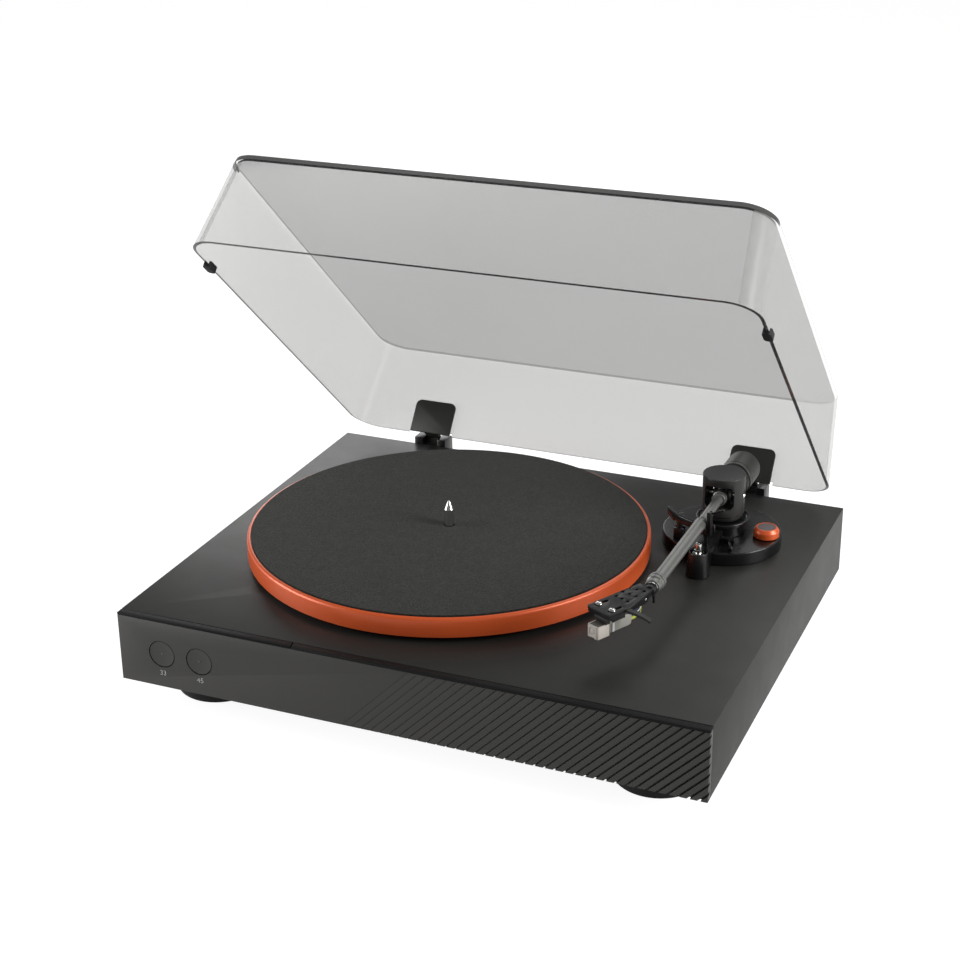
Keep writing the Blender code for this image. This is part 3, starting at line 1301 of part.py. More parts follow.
def headshell():
    half = HEAD_FRONT_W / 2
    rear_left, rear_right = HEAD_REAR_X - HEAD_REAR_W / 2, HEAD_REAR_X + HEAD_REAR_W / 2
    outline = [head_point(-half, 0), head_point(half, 0), (HEAD_STEP_X, -HEAD_STEP), (rear_right, -HEAD_REAR),
               (rear_left, -HEAD_REAR), (HEAD_SHOULDER_X, -HEAD_SHOULDER)]
    high = ARM_Z + HEAD_TOP
    shell = outline_solid("headshell", [outline], HEAD_T,
                          Matrix.Translation(from_pivot(0, 0, high - HEAD_T / 2)),
                          "black_plastic")
    lip = box("head_lip", (GAP - half, GAP, HEAD_TOP - HEAD_LIP), (half - GAP, HEAD_T, HEAD_TOP - GAP))
    lip.matrix_world = head_frame()
    join(shell, lip)
    join(shell, head_flange(rear_right, high))
    join(shell, rod("head_plug", HEAD_PLUG_R, from_pivot(0, -NECK_END - GAP, ARM_Z),
                    from_pivot(0, -NECK_END - GAP - HEAD_PLUG_L, ARM_Z)))
    for row, (down, aside, turn) in enumerate(HOLE_ROW_SHARES):
        mid_x = HEAD_REAR_X + aside * (HEAD_FRONT_X - HEAD_REAR_X)
        mid_y = HEAD_REAR + down * (HEAD_FRONT - HEAD_REAR)
        for place in (-1, 0, 1):
            x = mid_x + place * HEAD_HOLE_STEP * math.cos(turn * HEAD_ANGLE)
            y = -mid_y - place * HEAD_HOLE_STEP * math.sin(turn * HEAD_ANGLE)
            cut(shell, rod("head_hole_%d_%d" % (row, place + 1), HEAD_HOLE_R,
                           from_pivot(x, y, high - HEAD_T - GAP), from_pivot(x, y, high + OVER), steps=TINY))
    for n, sx in enumerate((-1, 1)):
        slot = rounded(HEAD_SLOT_W, HEAD_SLOT_L, HEAD_SLOT_W / 2 - GAP,
                       (sx * CART_SCREW_STEP / 2, CART_SCREW_SHIFT + HEAD_SLOT_SHIFT), steps=FEW_STEPS)
        cut(shell, outline_solid("head_slot_%d" % n, [slot], 2 * HEAD_T,
                                 head_frame() @ Matrix.Translation((0, 0, HEAD_TOP - HEAD_T / 2))))
    return shell


def head_flange(rear_right, high):
    # The side flange hangs from the right edge and is arched at its rear.
    edge = Vector((HEAD_STEP_X - rear_right, HEAD_REAR - HEAD_STEP, 0))
    frame = (Matrix.Translation(from_pivot(rear_right, -HEAD_REAR, high))
             @ Matrix.Rotation(math.atan2(edge.y, edge.x), 4, "Z")
             @ Matrix.Translation((0, -HEAD_SIDE_T / 2 - GAP, 0)) @ Matrix.Rotation(math.pi / 2, 4, "X"))
    arch = arc((HEAD_ARCH_R + HEAD_SIDE_T, HEAD_ARCH_RISE - HEAD_SIDE_H), HEAD_ARCH_R, math.pi, HEAD_ARCH_END)
    leg = [(GAP, -GAP), (GAP, -HEAD_SIDE_H), (HEAD_SIDE_T, -HEAD_SIDE_H)]
    outline = leg + arch + [(edge.length, -HEAD_SIDE_TIP), (edge.length, -GAP)]
    return outline_solid("head_flange", [outline], HEAD_SIDE_T, frame)


def cartridge_screws():
    made = []
    for side, sx in (("left", -1), ("right", 1)):
        x0 = sx * CART_SCREW_STEP / 2
        low = HEAD_TOP - HEAD_T - CART_TOP_CLEAR - CART_H * CART_SCREW_SHARE
        profile = [(0, HEAD_TOP + GAP + CART_SCREW_HEAD_H),
                   (CART_SCREW_HEAD_R, HEAD_TOP + GAP + CART_SCREW_HEAD_H),
                   (CART_SCREW_HEAD_R, HEAD_TOP + GAP), (CART_SCREW_R, HEAD_TOP + GAP), (CART_SCREW_R, low),
                   (0, low)]
        made.append(turned("cartridge_screw_" + side, profile, "chrome",
                           head_frame() @ Matrix.Translation((x0, CART_SCREW_SHIFT, 0)), SMALL))
    return made


def cartridge_body():
    high = HEAD_TOP - HEAD_T - CART_TOP_CLEAR
    half = CART_W / 2
    y0 = HEAD_T + GAP
    body = box("cartridge_body", (-half, y0, high - CART_H), (half, y0 + CART_L, high), "black_plastic")
    body.matrix_world = head_frame()
    half = CART_BACK_W / 2
    back = box("cartridge_back", (-half, y0 + CART_L - GAP, high - CART_H + GAP),
               (half, y0 + CART_L + CART_BACK_L, high - CART_H + CART_BACK_H))
    back.matrix_world = head_frame()
    join(body, back)
    for n, (sx, sz) in enumerate(((-1, -1), (1, -1), (-1, 1), (1, 1))):
        x = sx * half / 2
        z = high - CART_H + CART_BACK_H / 2 + sz * CART_BACK_H / 4
        start = y0 + CART_L + CART_BACK_L
        pin = rod("terminal_%d" % n, CART_PIN_R, (x, start - CART_PIN_L / 2, z), (x, start + CART_PIN_L, z),
                  steps=TINY)
        pin.matrix_world = head_frame() @ pin.matrix_world
        join(body, pin)
    for n, sx in enumerate((-1, 1)):
        bore = rod("cartridge_bore_%d" % n, CART_SCREW_R + GAP,
                   (sx * CART_SCREW_STEP / 2, CART_SCREW_SHIFT, high - CART_H * CART_SCREW_SHARE - 2 * GAP),
                   (sx * CART_SCREW_STEP / 2, CART_SCREW_SHIFT, high + OVER))
        bore.matrix_world = head_frame() @ bore.matrix_world
        cut(body, bore)
    return body


def stylus_unit():
    high = HEAD_TOP - HEAD_T - CART_TOP_CLEAR - CART_H - GAP
    half, front, low = STYLUS_W / 2, -STYLUS_PROUD, high - STYLUS_H
    unit = box("stylus_unit", (-half, front, low), (half, front + STYLUS_L, high), "warm_grey")
    unit.matrix_world = head_frame()
    y = front + STYLUS_BACK
    tip = rod("stylus_tip", STYLUS_NOSE_R, (0, y, low + STYLUS_NOSE), (0, y, low - STYLUS_NOSE), steps=TINY)
    tip.matrix_world = head_frame() @ tip.matrix_world
    return join(unit, tip)


def finger_lift():
    x0, y0 = head_point(HEAD_FRONT_W / 2, LIFT_SETBACK)
    points = []
    for i in range(LIFT_STEPS + 1):
        share = i / LIFT_STEPS
        points.append((share * LIFT_L, -share * LIFT_SWEEP, -LIFT_DROP * share ** 2))
    place = from_pivot(x0 + LIFT_R + GAP, y0, ARM_Z + HEAD_TOP - LIFT_R)
    return wire("finger_lift", points, LIFT_R, Matrix.Translation(place), "black_plastic")


def tonearm():
    arm_base()
    arm_nut()
    arm_pillar()
    lift_bracket()
    rest_post()
    rest_clip()
    lift_arc()
    cue_lever()
    anti_skate_knob()
    turning = with_tools(pivot_column(), *pivot_screws())
    tilting = with_tools(arm_tube(), locking_ring(), force_dial(), counterweight(), headshell(),
                         *cartridge_screws(),
                         cartridge_body(), stylus_unit(), finger_lift())
    place = from_pivot(0, 0, ARM_Z)
    axis = axis_empty("arm_axis", place, Matrix.Rotation(-ARM_YAW, 4, "Z"))
    carry_all(turning + tilting, axis, place)


def drive():
    bearing_well()
    platter()
    slip_mat()
    spindle()
    motor()
    motor_bracket()
    motor_pulley()
    drive_belt()


def casing():
    plinth_body()
    bottom_cover()
    front_fascia()
    edge_strips()
    feet()
    speed_buttons()


def electronics():
    main_board()
    button_board()
    rear_panel()
    signal_jacks()
    rear_controls()


casing()
drive()
electronics()
lid()
tonearm()
bpy.context.view_layer.update()
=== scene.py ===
"""Looks of a belt-drive turntable with a hinged clear cover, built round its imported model."""

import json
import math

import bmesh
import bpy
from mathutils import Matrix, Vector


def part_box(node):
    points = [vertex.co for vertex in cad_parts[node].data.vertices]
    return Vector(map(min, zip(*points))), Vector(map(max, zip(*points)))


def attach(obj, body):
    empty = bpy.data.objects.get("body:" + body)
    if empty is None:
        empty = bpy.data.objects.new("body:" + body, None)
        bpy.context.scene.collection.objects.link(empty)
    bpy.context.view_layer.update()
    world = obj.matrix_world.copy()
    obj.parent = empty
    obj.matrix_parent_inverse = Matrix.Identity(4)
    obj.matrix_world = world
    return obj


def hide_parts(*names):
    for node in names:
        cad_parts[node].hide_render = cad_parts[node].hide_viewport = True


bl_info = {
    "name": "Turntable Looks",
    "version": (1, 0, 0),
    "blender": (4, 5, 0),
    "location": "View3D > Sidebar > Turntable",
    "description": "Models and finishes the visible pieces of a belt-drive turntable",
    "category": "Add Mesh",
}

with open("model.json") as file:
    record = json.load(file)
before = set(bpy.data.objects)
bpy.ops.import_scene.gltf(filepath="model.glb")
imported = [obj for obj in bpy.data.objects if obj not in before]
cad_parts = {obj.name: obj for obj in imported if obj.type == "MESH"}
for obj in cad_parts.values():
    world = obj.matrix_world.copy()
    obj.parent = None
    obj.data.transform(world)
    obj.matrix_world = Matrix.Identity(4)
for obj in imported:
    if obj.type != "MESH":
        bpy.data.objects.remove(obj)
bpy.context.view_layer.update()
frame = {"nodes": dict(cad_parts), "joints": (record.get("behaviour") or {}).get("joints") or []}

JOINTS = {joint["name"]: joint for joint in frame["joints"]}

SIDES = (("left", -1), ("right", 1))

# Shared small sizes, in metres
MERGE = 0.00001         # points nearer than this are one
OVER = 0.002            # how far a cutting tool runs past a face
SKIN = 0.0001           # printing and inlays above the face that they lie on
GAP = 0.0003            # between pieces that fit in or over each other
FINE = 128              # steps round a large turned piece
ROUND = 64              # round a middling one
SMALL = 32              # round a small one

# Places that other pieces are laid out from
PLINTH_LOW, PLINTH_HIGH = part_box("plinth_body")
FASCIA_LOW, FASCIA_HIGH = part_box("front_fascia")
TOP = PLINTH_HIGH.z
FLOOR_GAP = PLINTH_LOW.z
SPINDLE = Vector(JOINTS["platter_spin"]["pos_m"])
HINGE = Vector(JOINTS["lid_hinge"]["pos_m"])
PIVOT = Vector(JOINTS["arm_swing"]["pos_m"])
LID_OPEN = math.radians(JOINTS["lid_hinge"]["range_deg"][1])
ARM_WAY = Vector(JOINTS["ring_turn"]["axis"])
ARM_YAW = math.atan2(ARM_WAY.x, -ARM_WAY.y)
PLUNGER = (-0.025, -0.0275)     # the lift's plunger, from the arm's pivot


def linear(code):
    """An sRGB hex colour as the linear values that the shaders use."""
    parts = [int(code[i:i + 2], 16) / 255 for i in (1, 3, 5)]
    return [part / 12.92 if part <= 0.04045 else ((part + 0.055) / 1.055) ** 2.4 for part in parts]


def length(name, default, about):
    return bpy.props.FloatProperty(name=name, description=about, default=default, unit="LENGTH", precision=5)


def angle(name, degrees, about):
    return bpy.props.FloatProperty(name=name, description=about, default=math.radians(degrees),
                                   unit="ROTATION")


def tint(name, code, about):
    return bpy.props.FloatVectorProperty(name=name, description=about, default=linear(code), subtype="COLOR",
                                         min=0, max=1)


class TurntableColours(bpy.types.PropertyGroup):
    wrap: tint("Plinth wrap", "#2b2b29", "Black film round the plinth")
    fascia: tint("Fascia", "#464542", "Dark grey moulding at the front")
    platter: tint("Platter", "#f06630", "Orange coat of the platter and the small knob")
    felt: tint("Felt", "#11110f", "Slip mat")
    felt_fibre: tint("Felt fibres", "#3c3c35", "Lighter fibres in the slip mat")
    rubber: tint("Rubber", "#1b1b1b", "Feet and bumpers")
    moulding: tint("Black moulding", "#141414", "Arm base, hinges and other black parts")
    tube: tint("Arm tube", "#82827f", "Anodised arm tube")
    head: tint("Headshell", "#1d1d1d", "Black anodised headshell")
    smoke: tint("Smoke tint", "#3b3c37", "Clear cover")
    stylus: tint("Stylus", "#cdc6bd", "Warm grey stylus holder")
    print: tint("Numbers", "#d8d8d4", "Printed numbers")
    column: tint("Column", "#272726", "Coated column of the arm")
    weight: tint("Counterweight", "#535351", "Lacquered counterweight")
    inlay: tint("Inlay", "#6a6263", "Flat top of the small knob")


class TurntablePlinth(bpy.types.PropertyGroup):
    edge: length("Edge", 0.0005, "Rounding along the plinth's edges")
    wall: length("Wall", 0.01, "Side walls")
    top: length("Top board", 0.008, "Thickness of the top board")
    groove_pitch: length("Groove pitch", 0.007, "Between grooves, along the front")
    groove_start: length("First groove", -0.042, "Where the first groove meets the lower edge")
    groove_fine: length("Fine groove", 0.00035, "Width of the first groove")
    groove_bold: length("Bold groove", 0.0016, "Width of the last groove")
    groove_shallow: length("Shallow groove", 0.0003, "Depth of the first groove")
    groove_deep: length("Deep groove", 0.003, "Depth of the last groove")
    groove_lean: angle("Groove lean", 45, "Slant of the grooves")
    strip_lean: length("Slit lean", 0.0008, "Half the slant of the slit between the edge strips")
    button_rim: length("Button gap", 0.0004, "Gap round each speed button")
    button_dish: length("Button dish", 0.0005, "Hollow of a button's face")
    number_size: length("Number size", 0.0054, "Type size of the speed numbers")
    number_drop: length("Number drop", 0.0148, "Middle of a number below the button's middle")


class TurntableDrive(bpy.types.PropertyGroup):
    platter_edge: length("Platter edge", 0.0024, "Rounding of the platter's upper edge")
    platter_rim: length("Platter rim", 0.008, "Thickness of the rim wall")
    platter_web: length("Platter web", 0.004, "Thickness of the platter's disc")
    track: length("Belt track", 0.0625, "Radius of the belt's track under the platter")
    track_wall: length("Track wall", 0.004, "Thickness of the belt's track")
    hub: length("Hub", 0.014, "Radius of the platter's hub")
    mat_edge: length("Mat edge", 0.0007, "Rounding of the mat's edge")
    spindle: length("Spindle", 0.00355, "Radius of the spindle")
    cone: length("Spindle cone", 0.0062, "Height of the spindle's tip")
    tip: length("Spindle tip", 0.001, "Radius of the spindle's tip")


class TurntableCover(bpy.types.PropertyGroup):
    width: length("Rim width", 0.412, "Side to side along the rim")
    depth: length("Rim depth", 0.351, "Front to back along the rim")
    height: length("Height", 0.0726, "Rim to top")
    draft: length("Draft", 0.0067, "How far each wall leans in")
    wall: length("Wall", 0.0024, "Thickness of the sheet")
    corner: length("Corner", 0.023, "Radius of the upright corners")
    edge: length("Edge", 0.0008, "Rounding between the walls and the top")
    band: length("Band", 0.0041, "Dark strip under the front's top edge, where the sheet is seen end on")
    margin: length("Margin", 0.005, "Closed rim from the plinth's rear edge")
    lift: length("Lift", 0.003, "Closed rim above the plinth")
    notch: length("Notch width", 0.0394, "Cut in the rear rim at each hinge")
    notch_high: length("Notch height", 0.0032, "Height of that cut")


class TurntableArm(bpy.types.PropertyGroup):
    base: length("Base thickness", 0.0105, "Round base under the arm")
    base_edge: length("Base edge", 0.0012, "Rounding of the base's upper edge")
    spigot: length("Spigot", 0.006, "Radius of the shaft that the column turns on")
    sleeve: length("Sleeve", 0.011, "Radius of the threaded sleeve through the top board")
    guide_w: length("Guide width", 0.0076, "Block that guides the lift, side to side")
    guide_d: length("Guide depth", 0.0076, "Block that guides the lift, front to back")
    guide_h: length("Guide height", 0.009, "Block that guides the lift, above the base")
    plunger: length("Plunger", 0.0022, "Radius of the lift's plunger")
    pillar: length("Pillar", 0.018, "Radius of the ring under the column")
    lip: length("Pillar lip", 0.0198, "Radius of that ring's lip")
    lip_thick: length("Lip thickness", 0.0026, "Height of the lip")
    column: length("Column", 0.0159, "Radius of the windowed column")
    foot: length("Column foot", 0.015, "Radius of the column's foot")
    foot_high: length("Foot height", 0.004, "Height of the column's foot")
    window_w: length("Window width", 0.0222, "Opening through the column")
    window_h: length("Window height", 0.0177, "Opening through the column")
    window_rise: length("Window rise", 0.0014, "Window's middle above the arm's axis")
    window_corner: length("Window corner", 0.004, "Radius of the window's corners")
    screw: length("Pivot screw", 0.0021, "Radius of the screws that the arm tilts on")
    block: length("Bearing barrel", 0.0056, "Radius of the barrel inside the column")
    thin: length("Thin tube", 0.0034, "Radius of the tube behind the shoulder")
    tube: length("Tube", 0.0045, "Radius of the tube")
    shoulder: length("Shoulder", 0.054, "Pivot to the tube's shoulder")
    tube_end: length("Tube end", 0.1565, "Pivot to the end of the tube")
    neck_end: length("Neck end", 0.169, "Pivot to the end of the neck")
    ring: length("Locking ring", 0.0064, "Radius of the ring that locks the headshell")
    collar: length("Collar", 0.0054, "Radius of the smaller end of that ring")
    stub: length("Stub", 0.004, "Radius of the rear stub")
    dial: length("Dial", 0.0124, "Radius of the force dial")
    weight: length("Counterweight", 0.013, "Radius of the counterweight")
    boss: length("Boss foot", 0.009, "Radius of the lift boss at its foot")
    boss_top: length("Boss top", 0.0068, "Radius of the lift boss at its top")
    boss_high: length("Boss height", 0.0185, "Height of the lift boss")
    knob_top: length("Knob top", 0.0078, "Radius of the small knob's flat top")


class TurntableHead(bpy.types.PropertyGroup):
    turn: angle("Offset", 27, "Headshell turned from the arm")
    front: length("Front edge", 0.2181, "Pivot to the middle of the front edge")
    front_x: length("Front shift", -0.0207, "Middle of the front edge, aside from the arm")
    front_w: length("Front width", 0.0206, "Width of the front edge")
    rear: length("Rear edge", 0.1705, "Pivot to the rear edge")
    rear_x: length("Rear shift", -0.0022, "Middle of the rear edge, aside from the arm")
    rear_w: length("Rear width", 0.011, "Width of the rear edge")
    shoulder: length("Shoulder", 0.1806, "Where the left edge bends")
    shoulder_x: length("Shoulder shift", -0.0133, "Where the left edge bends, aside from the arm")
    step: length("Flange end", 0.2078, "Where the side flange ends")
    step_x: length("Flange end shift", -0.0027, "Where the side flange ends, aside from the arm")
    top: length("Plate top", 0.0025, "Plate above the arm's axis")
    sheet: length("Sheet", 0.002, "Thickness of the plate")
    lip: length("Front lip", 0.0042, "Depth of the turned-down front edge")
    side: length("Flange sheet", 0.0014, "Thickness of the side flange")
    side_h: length("Flange depth", 0.0125, "Depth of the side flange at its rear")
    side_tip: length("Flange tip", 0.0035, "Depth of the side flange at its front")
    arch_rise: length("Arch rise", 0.0025, "Arch's middle above the flange's lowest edge")
    arch: length("Arch", 0.0052, "Radius of the arch in the flange")
    hole: length("Hole", 0.0013, "Radius of the holes in the plate")
    hole_step: length("Hole spacing", 0.0054, "Between holes in a row")
    slot_w: length("Slot width", 0.003, "Slots for the cartridge screws")
    slot_l: length("Slot length", 0.012, "Slots for the cartridge screws")
    slot_shift: length("Slot shift", 0.0024, "Slot middles behind the screws")
    screw_step: length("Screw spacing", 0.0127, "Between the cartridge screws")
    screw_shift: length("Screw setback", 0.0066, "Cartridge screws behind the front edge")
    body_w: length("Cartridge width", 0.016, "Mounting flange of the cartridge")
    body_l: length("Cartridge length", 0.017, "Mounting flange of the cartridge")
    body_h: length("Cartridge height", 0.0073, "Cartridge from flange to underside")
    flange: length("Cartridge flange", 0.0024, "Thickness of the mounting flange")
    waist: length("Cartridge waist", 0.0116, "Width of the grey shell under the flange")
    back_w: length("Rear width", 0.0105, "Rear block of the cartridge")
    back_l: length("Rear length", 0.0065, "Rear block of the cartridge")
    back_h: length("Rear height", 0.0012, "Rear block above the mount's underside")
    shell_h: length("Shell height", 0.0086, "Grey shell behind the stylus holder")
    stylus_w: length("Stylus width", 0.0101, "Holder of the stylus")
    stylus_l: length("Stylus length", 0.0108, "Holder of the stylus")
    stylus_h: length("Stylus height", 0.0095, "Holder of the stylus")
    stylus_proud: length("Stylus proud", 0.005, "Holder in front of the headshell")


class TurntableRear(bpy.types.PropertyGroup):
    jack: length("Jack", 0.0042, "Radius of a signal jack")
    jack_bore: length("Jack bore", 0.0016, "Radius of its contact's hole")
    jack_long: length("Jack length", 0.0095, "Signal jack behind the panel")
    jack_flange: length("Jack flange", 0.0055, "Radius of a signal jack's flange")
    tail: length("Tail", 0.006, "Jacks and post inside the panel")
    post: length("Post", 0.0035, "Radius of the ground post's knob")
    post_stem: length("Post stem", 0.0015, "Radius of the ground post's stem")
    post_long: length("Post length", 0.008, "Ground post behind the panel")
    pair: length("Pairing button", 0.003, "Radius of the pairing button")
    power: length("Power jack", 0.0055, "Radius of the power jack")
    power_bore: length("Power bore", 0.003, "Radius of the power jack's hole")
    rocker_tilt: angle("Rocker tilt", 9, "Power rocker at rest")
    rocker_w: length("Rocker width", 0.012, "Power rocker, side to side")
    rocker_h: length("Rocker height", 0.009, "Power rocker, up and down")


class TurntableStage(bpy.types.PropertyGroup):
    target: bpy.props.FloatVectorProperty(name="Target", description="Point that the camera looks at",
                                          default=(-0.01853, -0.015308, 0.12898), subtype="XYZ",
                                          unit="LENGTH")
    distance: length("Distance", 1.4, "Camera from its target")
    azimuth: angle("Azimuth", 23.13, "Camera to the right of the front")
    elevation: angle("Elevation", 23.37, "Camera above the level")
    roll: angle("Roll", -0.63, "Camera turned about its own axis")
    lens: bpy.props.FloatProperty(name="Lens", description="Focal length for a 36 mm frame", default=71.268,
                                  unit="CAMERA")
    fill: bpy.props.FloatProperty(name="Fill", description="Light from all round", default=0.25, min=0)
    key: bpy.props.FloatProperty(name="Key", description="Lamp on the right", default=21.0, unit="POWER")
    rear: bpy.props.FloatProperty(name="Rear", description="Lamp behind and above", default=9.0, unit="POWER")
    low: bpy.props.FloatProperty(name="Low", description="Small lamp at the front left", default=8.0,
                                 unit="POWER")
    rim: bpy.props.FloatProperty(name="Rim", description="Lamp behind on the left", default=5.0, unit="POWER")


def settings(name):
    return getattr(bpy.context.scene, "turntable_" + name)


# Modelling steps, as done by hand in edit mode

def middle_of(node):
    low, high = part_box(node)
    return (low + high) / 2


def foot_of(node):
    """The middle of a node's underside."""
    low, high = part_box(node)
    return Vector(((low.x + high.x) / 2, (low.y + high.y) / 2, low.z))


def half_width(node):
    low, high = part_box(node)
    return (high.x - low.x) / 2


def clear_selection():
    if bpy.context.object and bpy.context.object.mode != "OBJECT":
        bpy.ops.object.mode_set(mode="OBJECT")
    bpy.ops.object.select_all(action="DESELECT")


def take(obj):
    """Makes one object the only one selected."""
    clear_selection()
    obj.select_set(True)
    bpy.context.view_layer.objects.active = obj
    return obj


def named(name):
    obj = bpy.context.object
    obj.name = name
    obj.data.name = name
    return obj


def edit(obj):
    take(obj)
    bpy.ops.object.mode_set(mode="EDIT")
    return obj


def done(obj):
    bpy.ops.object.mode_set(mode="OBJECT")
    return obj


def pick(kind, test):
    """Selects, in edit mode, what passes a test: faces by middle and normal, edges by middle and way."""
    bpy.ops.mesh.select_mode(type=kind)
    bpy.ops.mesh.select_all(action="DESELECT")
    mesh = bmesh.from_edit_mesh(bpy.context.edit_object.data)
    if kind == "FACE":
        for face in mesh.faces:
            face.select_set(test(face.calc_center_median(), face.normal))
    elif kind == "EDGE":
        for edge in mesh.edges:
            ends = [vert.co for vert in edge.verts]
            edge.select_set(test((ends[0] + ends[1]) / 2, (ends[1] - ends[0]).normalized()))
    else:
        for vert in mesh.verts:
            vert.select_set(test(vert.co))
    mesh.select_flush_mode()
    bmesh.update_edit_mesh(bpy.context.edit_object.data)


def bevel(obj, width, segments, test):
    """Rounds the edges that pass a test."""
    edit(obj)
    pick("EDGE", test)
    bpy.ops.mesh.bevel(offset=width, segments=segments, affect="EDGES")
    return done(obj)


def cleaned(obj):
    """Merges what is doubled and turns the faces outwards."""
    edit(obj)
    bpy.ops.mesh.select_all(action="SELECT")
    bpy.ops.mesh.remove_doubles(threshold=MERGE)
    bpy.ops.mesh.normals_make_consistent(inside=False)
    return done(obj)


def block(name, low, high):
    """A cube between two corners."""
    low, high = Vector(low), Vector(high)
    clear_selection()
    bpy.ops.mesh.primitive_cube_add(size=1, location=(low + high) / 2, scale=high - low)
    obj = named(name)
    bpy.ops.object.transform_apply(location=True, rotation=True, scale=True)
    return obj


def peg(name, radius, start, end, steps=SMALL):
    """A cylinder between two points."""
    start, end = Vector(start), Vector(end)
    clear_selection()
    bpy.ops.mesh.primitive_cylinder_add(vertices=steps, radius=radius, depth=(end - start).length)
    obj = named(name)
    turn = (end - start).to_track_quat("Z", "Y").to_matrix().to_4x4()
    return settle(obj, Matrix.Translation((start + end) / 2) @ turn)


def settle(obj, matrix):
    """Puts a piece in its place and leaves its object at the origin."""
    obj.matrix_world = matrix @ obj.matrix_world
    take(obj)
    bpy.ops.object.transform_apply(location=True, rotation=True, scale=True)
    return obj


def drawn(name, points, closed=True):
    """One point, extruded from corner to corner of an outline. The object stays in edit mode."""
    points = [Vector(point).to_3d() for point in points]
    clear_selection()
    bpy.ops.mesh.primitive_plane_add(size=1)
    obj = named(name)
    bpy.ops.object.mode_set(mode="EDIT")
    bpy.ops.mesh.select_mode(type="VERT")
    bpy.ops.mesh.select_all(action="SELECT")
    bpy.ops.mesh.merge(type="CENTER")
    bpy.ops.transform.translate(value=points[0])
    for before, after in zip(points, points[1:]):
        bpy.ops.mesh.extrude_vertices_move(TRANSFORM_OT_translate={"value": after - before})
    bpy.ops.mesh.select_all(action="SELECT")
    if closed:
        bpy.ops.mesh.edge_face_add()
    return obj


def plate(name, outline, thickness):
    """A flat outline in X and Y, raised by its thickness."""
    obj = drawn(name, outline)
    bpy.ops.mesh.extrude_region_move(TRANSFORM_OT_translate={"value": (0, 0, thickness)})
    bpy.ops.mesh.select_all(action="SELECT")
    bpy.ops.mesh.normals_make_consistent(inside=False)
    return done(obj)


def turned(name, profile, radii=None, steps=ROUND, place=(0, 0, 0), arc=5):
    """A profile of radius and height, its corners rounded by their radii, spun about Z."""
    if radii:
        profile = rounded(profile, radii, arc, closed=False)
    obj = drawn(name, [(point[0], 0, point[1]) for point in profile], closed=False)
    bpy.ops.mesh.spin(steps=steps, angle=math.tau, center=(0, 0, 0), axis=(0, 0, 1))
    return settle(cleaned(obj), Matrix.Translation(place))


def rounded(points, radii, steps=5, closed=True):
    """An outline whose corners become arcs. There is one radius for each point, 0 for a sharp one."""
    made = []
    for i, (point, radius) in enumerate(zip(points, radii)):
        here = Vector(point)
        if not radius:
            made.append(here)
            continue
        before = (Vector(points[i - 1]) - here).normalized()
        after = (Vector(points[(i + 1) % len(points)]) - here).normalized()
        half = before.angle(after) / 2
        centre = here + (before + after).normalized() * (radius / math.sin(half))
        start = here + before * (radius / math.tan(half)) - centre
        end = here + after * (radius / math.tan(half)) - centre
        made += [centre + start.slerp(end, k / steps) * radius for k in range(steps + 1)]
    return made


def rectangle(half_wide, half_high):
    return [(-half_wide, -half_high), (half_wide, -half_high), (half_wide, half_high),
            (-half_wide, half_high)]


def soften(obj, width, segments=2, limit=30):
    """Rounds every edge sharper than the limit."""
    take(obj)
    step = obj.modifiers.new("edges", "BEVEL")
    step.width = width
    step.segments = segments
    step.limit_method = "ANGLE"
    step.angle_limit = math.radians(limit)
    bpy.ops.object.modifier_apply(modifier=step.name)
    return obj


def carve(obj, *tools, operation="DIFFERENCE"):
    """Cuts tools out of a piece, or joins them to it, and removes them."""
    for tool in tools:
        take(obj)
        step = obj.modifiers.new("cut", "BOOLEAN")
        step.operation = operation
        step.object = tool
        step.solver = "EXACT"
        bpy.ops.object.modifier_apply(modifier=step.name)
        bpy.data.objects.remove(tool, do_unlink=True)
    return obj


def cross_cut(screw, half, reach, floor):
    """Cuts a cross recess into a screw's head, down to its floor."""
    top = floor + 0.0018
    carve(screw, block("slot", (-half, -reach, floor), (half, reach, top)),
          block("slot", (-reach, -half, floor), (reach, half, top)))


def gather(name, *pieces):
    """Several closed shells as one object."""
    clear_selection()
    for piece in pieces:
        piece.select_set(True)
    bpy.context.view_layer.objects.active = pieces[0]
    bpy.ops.object.join()
    return named(name)


def copy_of(obj, name):
    """A copy with its own mesh."""
    take(obj)
    bpy.ops.object.duplicate(linked=False)
    return named(name)


def pipe(name, points, radius, thin=1.0, sides=3):
    """A round bar along a smooth line through a few points, thinner towards its end."""
    clear_selection()
    bpy.ops.curve.primitive_nurbs_path_add()
    obj = bpy.context.object
    curve = obj.data
    curve.splines.clear()
    line = curve.splines.new("NURBS")
    line.points.add(len(points) - 1)
    for i, (spot, place) in enumerate(zip(line.points, points)):
        spot.co = (*place, 1)
        spot.radius = 1 + (thin - 1) * i / (len(points) - 1)
    line.order_u = 3
    line.use_endpoint_u = True
    line.resolution_u = 6
    curve.bevel_depth = radius
    curve.bevel_resolution = sides
    curve.use_fill_caps = True
    bpy.ops.object.convert(target="MESH")
    return cleaned(named(name))


def lettering(name, text, size, depth):
    """Raised plain numbers, lying in X and Y with their middle at the origin."""
    clear_selection()
    bpy.ops.object.text_add()
    obj = bpy.context.object
    obj.data.body = text
    obj.data.size = size
    obj.data.extrude = depth / 2
    obj.data.align_x = "CENTER"
    obj.data.align_y = "CENTER"
    bpy.ops.object.convert(target="MESH")
    return cleaned(named(name))


def beside(place, x=0.0, y=0.0, z=0.0):
    """A place moved by a little."""
    return Vector(place) + Vector((x, y, z))


def upright(way, place):
    """Local Z turned to a direction, at a place."""
    return Matrix.Translation(place) @ Vector(way).to_track_quat("Z", "Y").to_matrix().to_4x4()


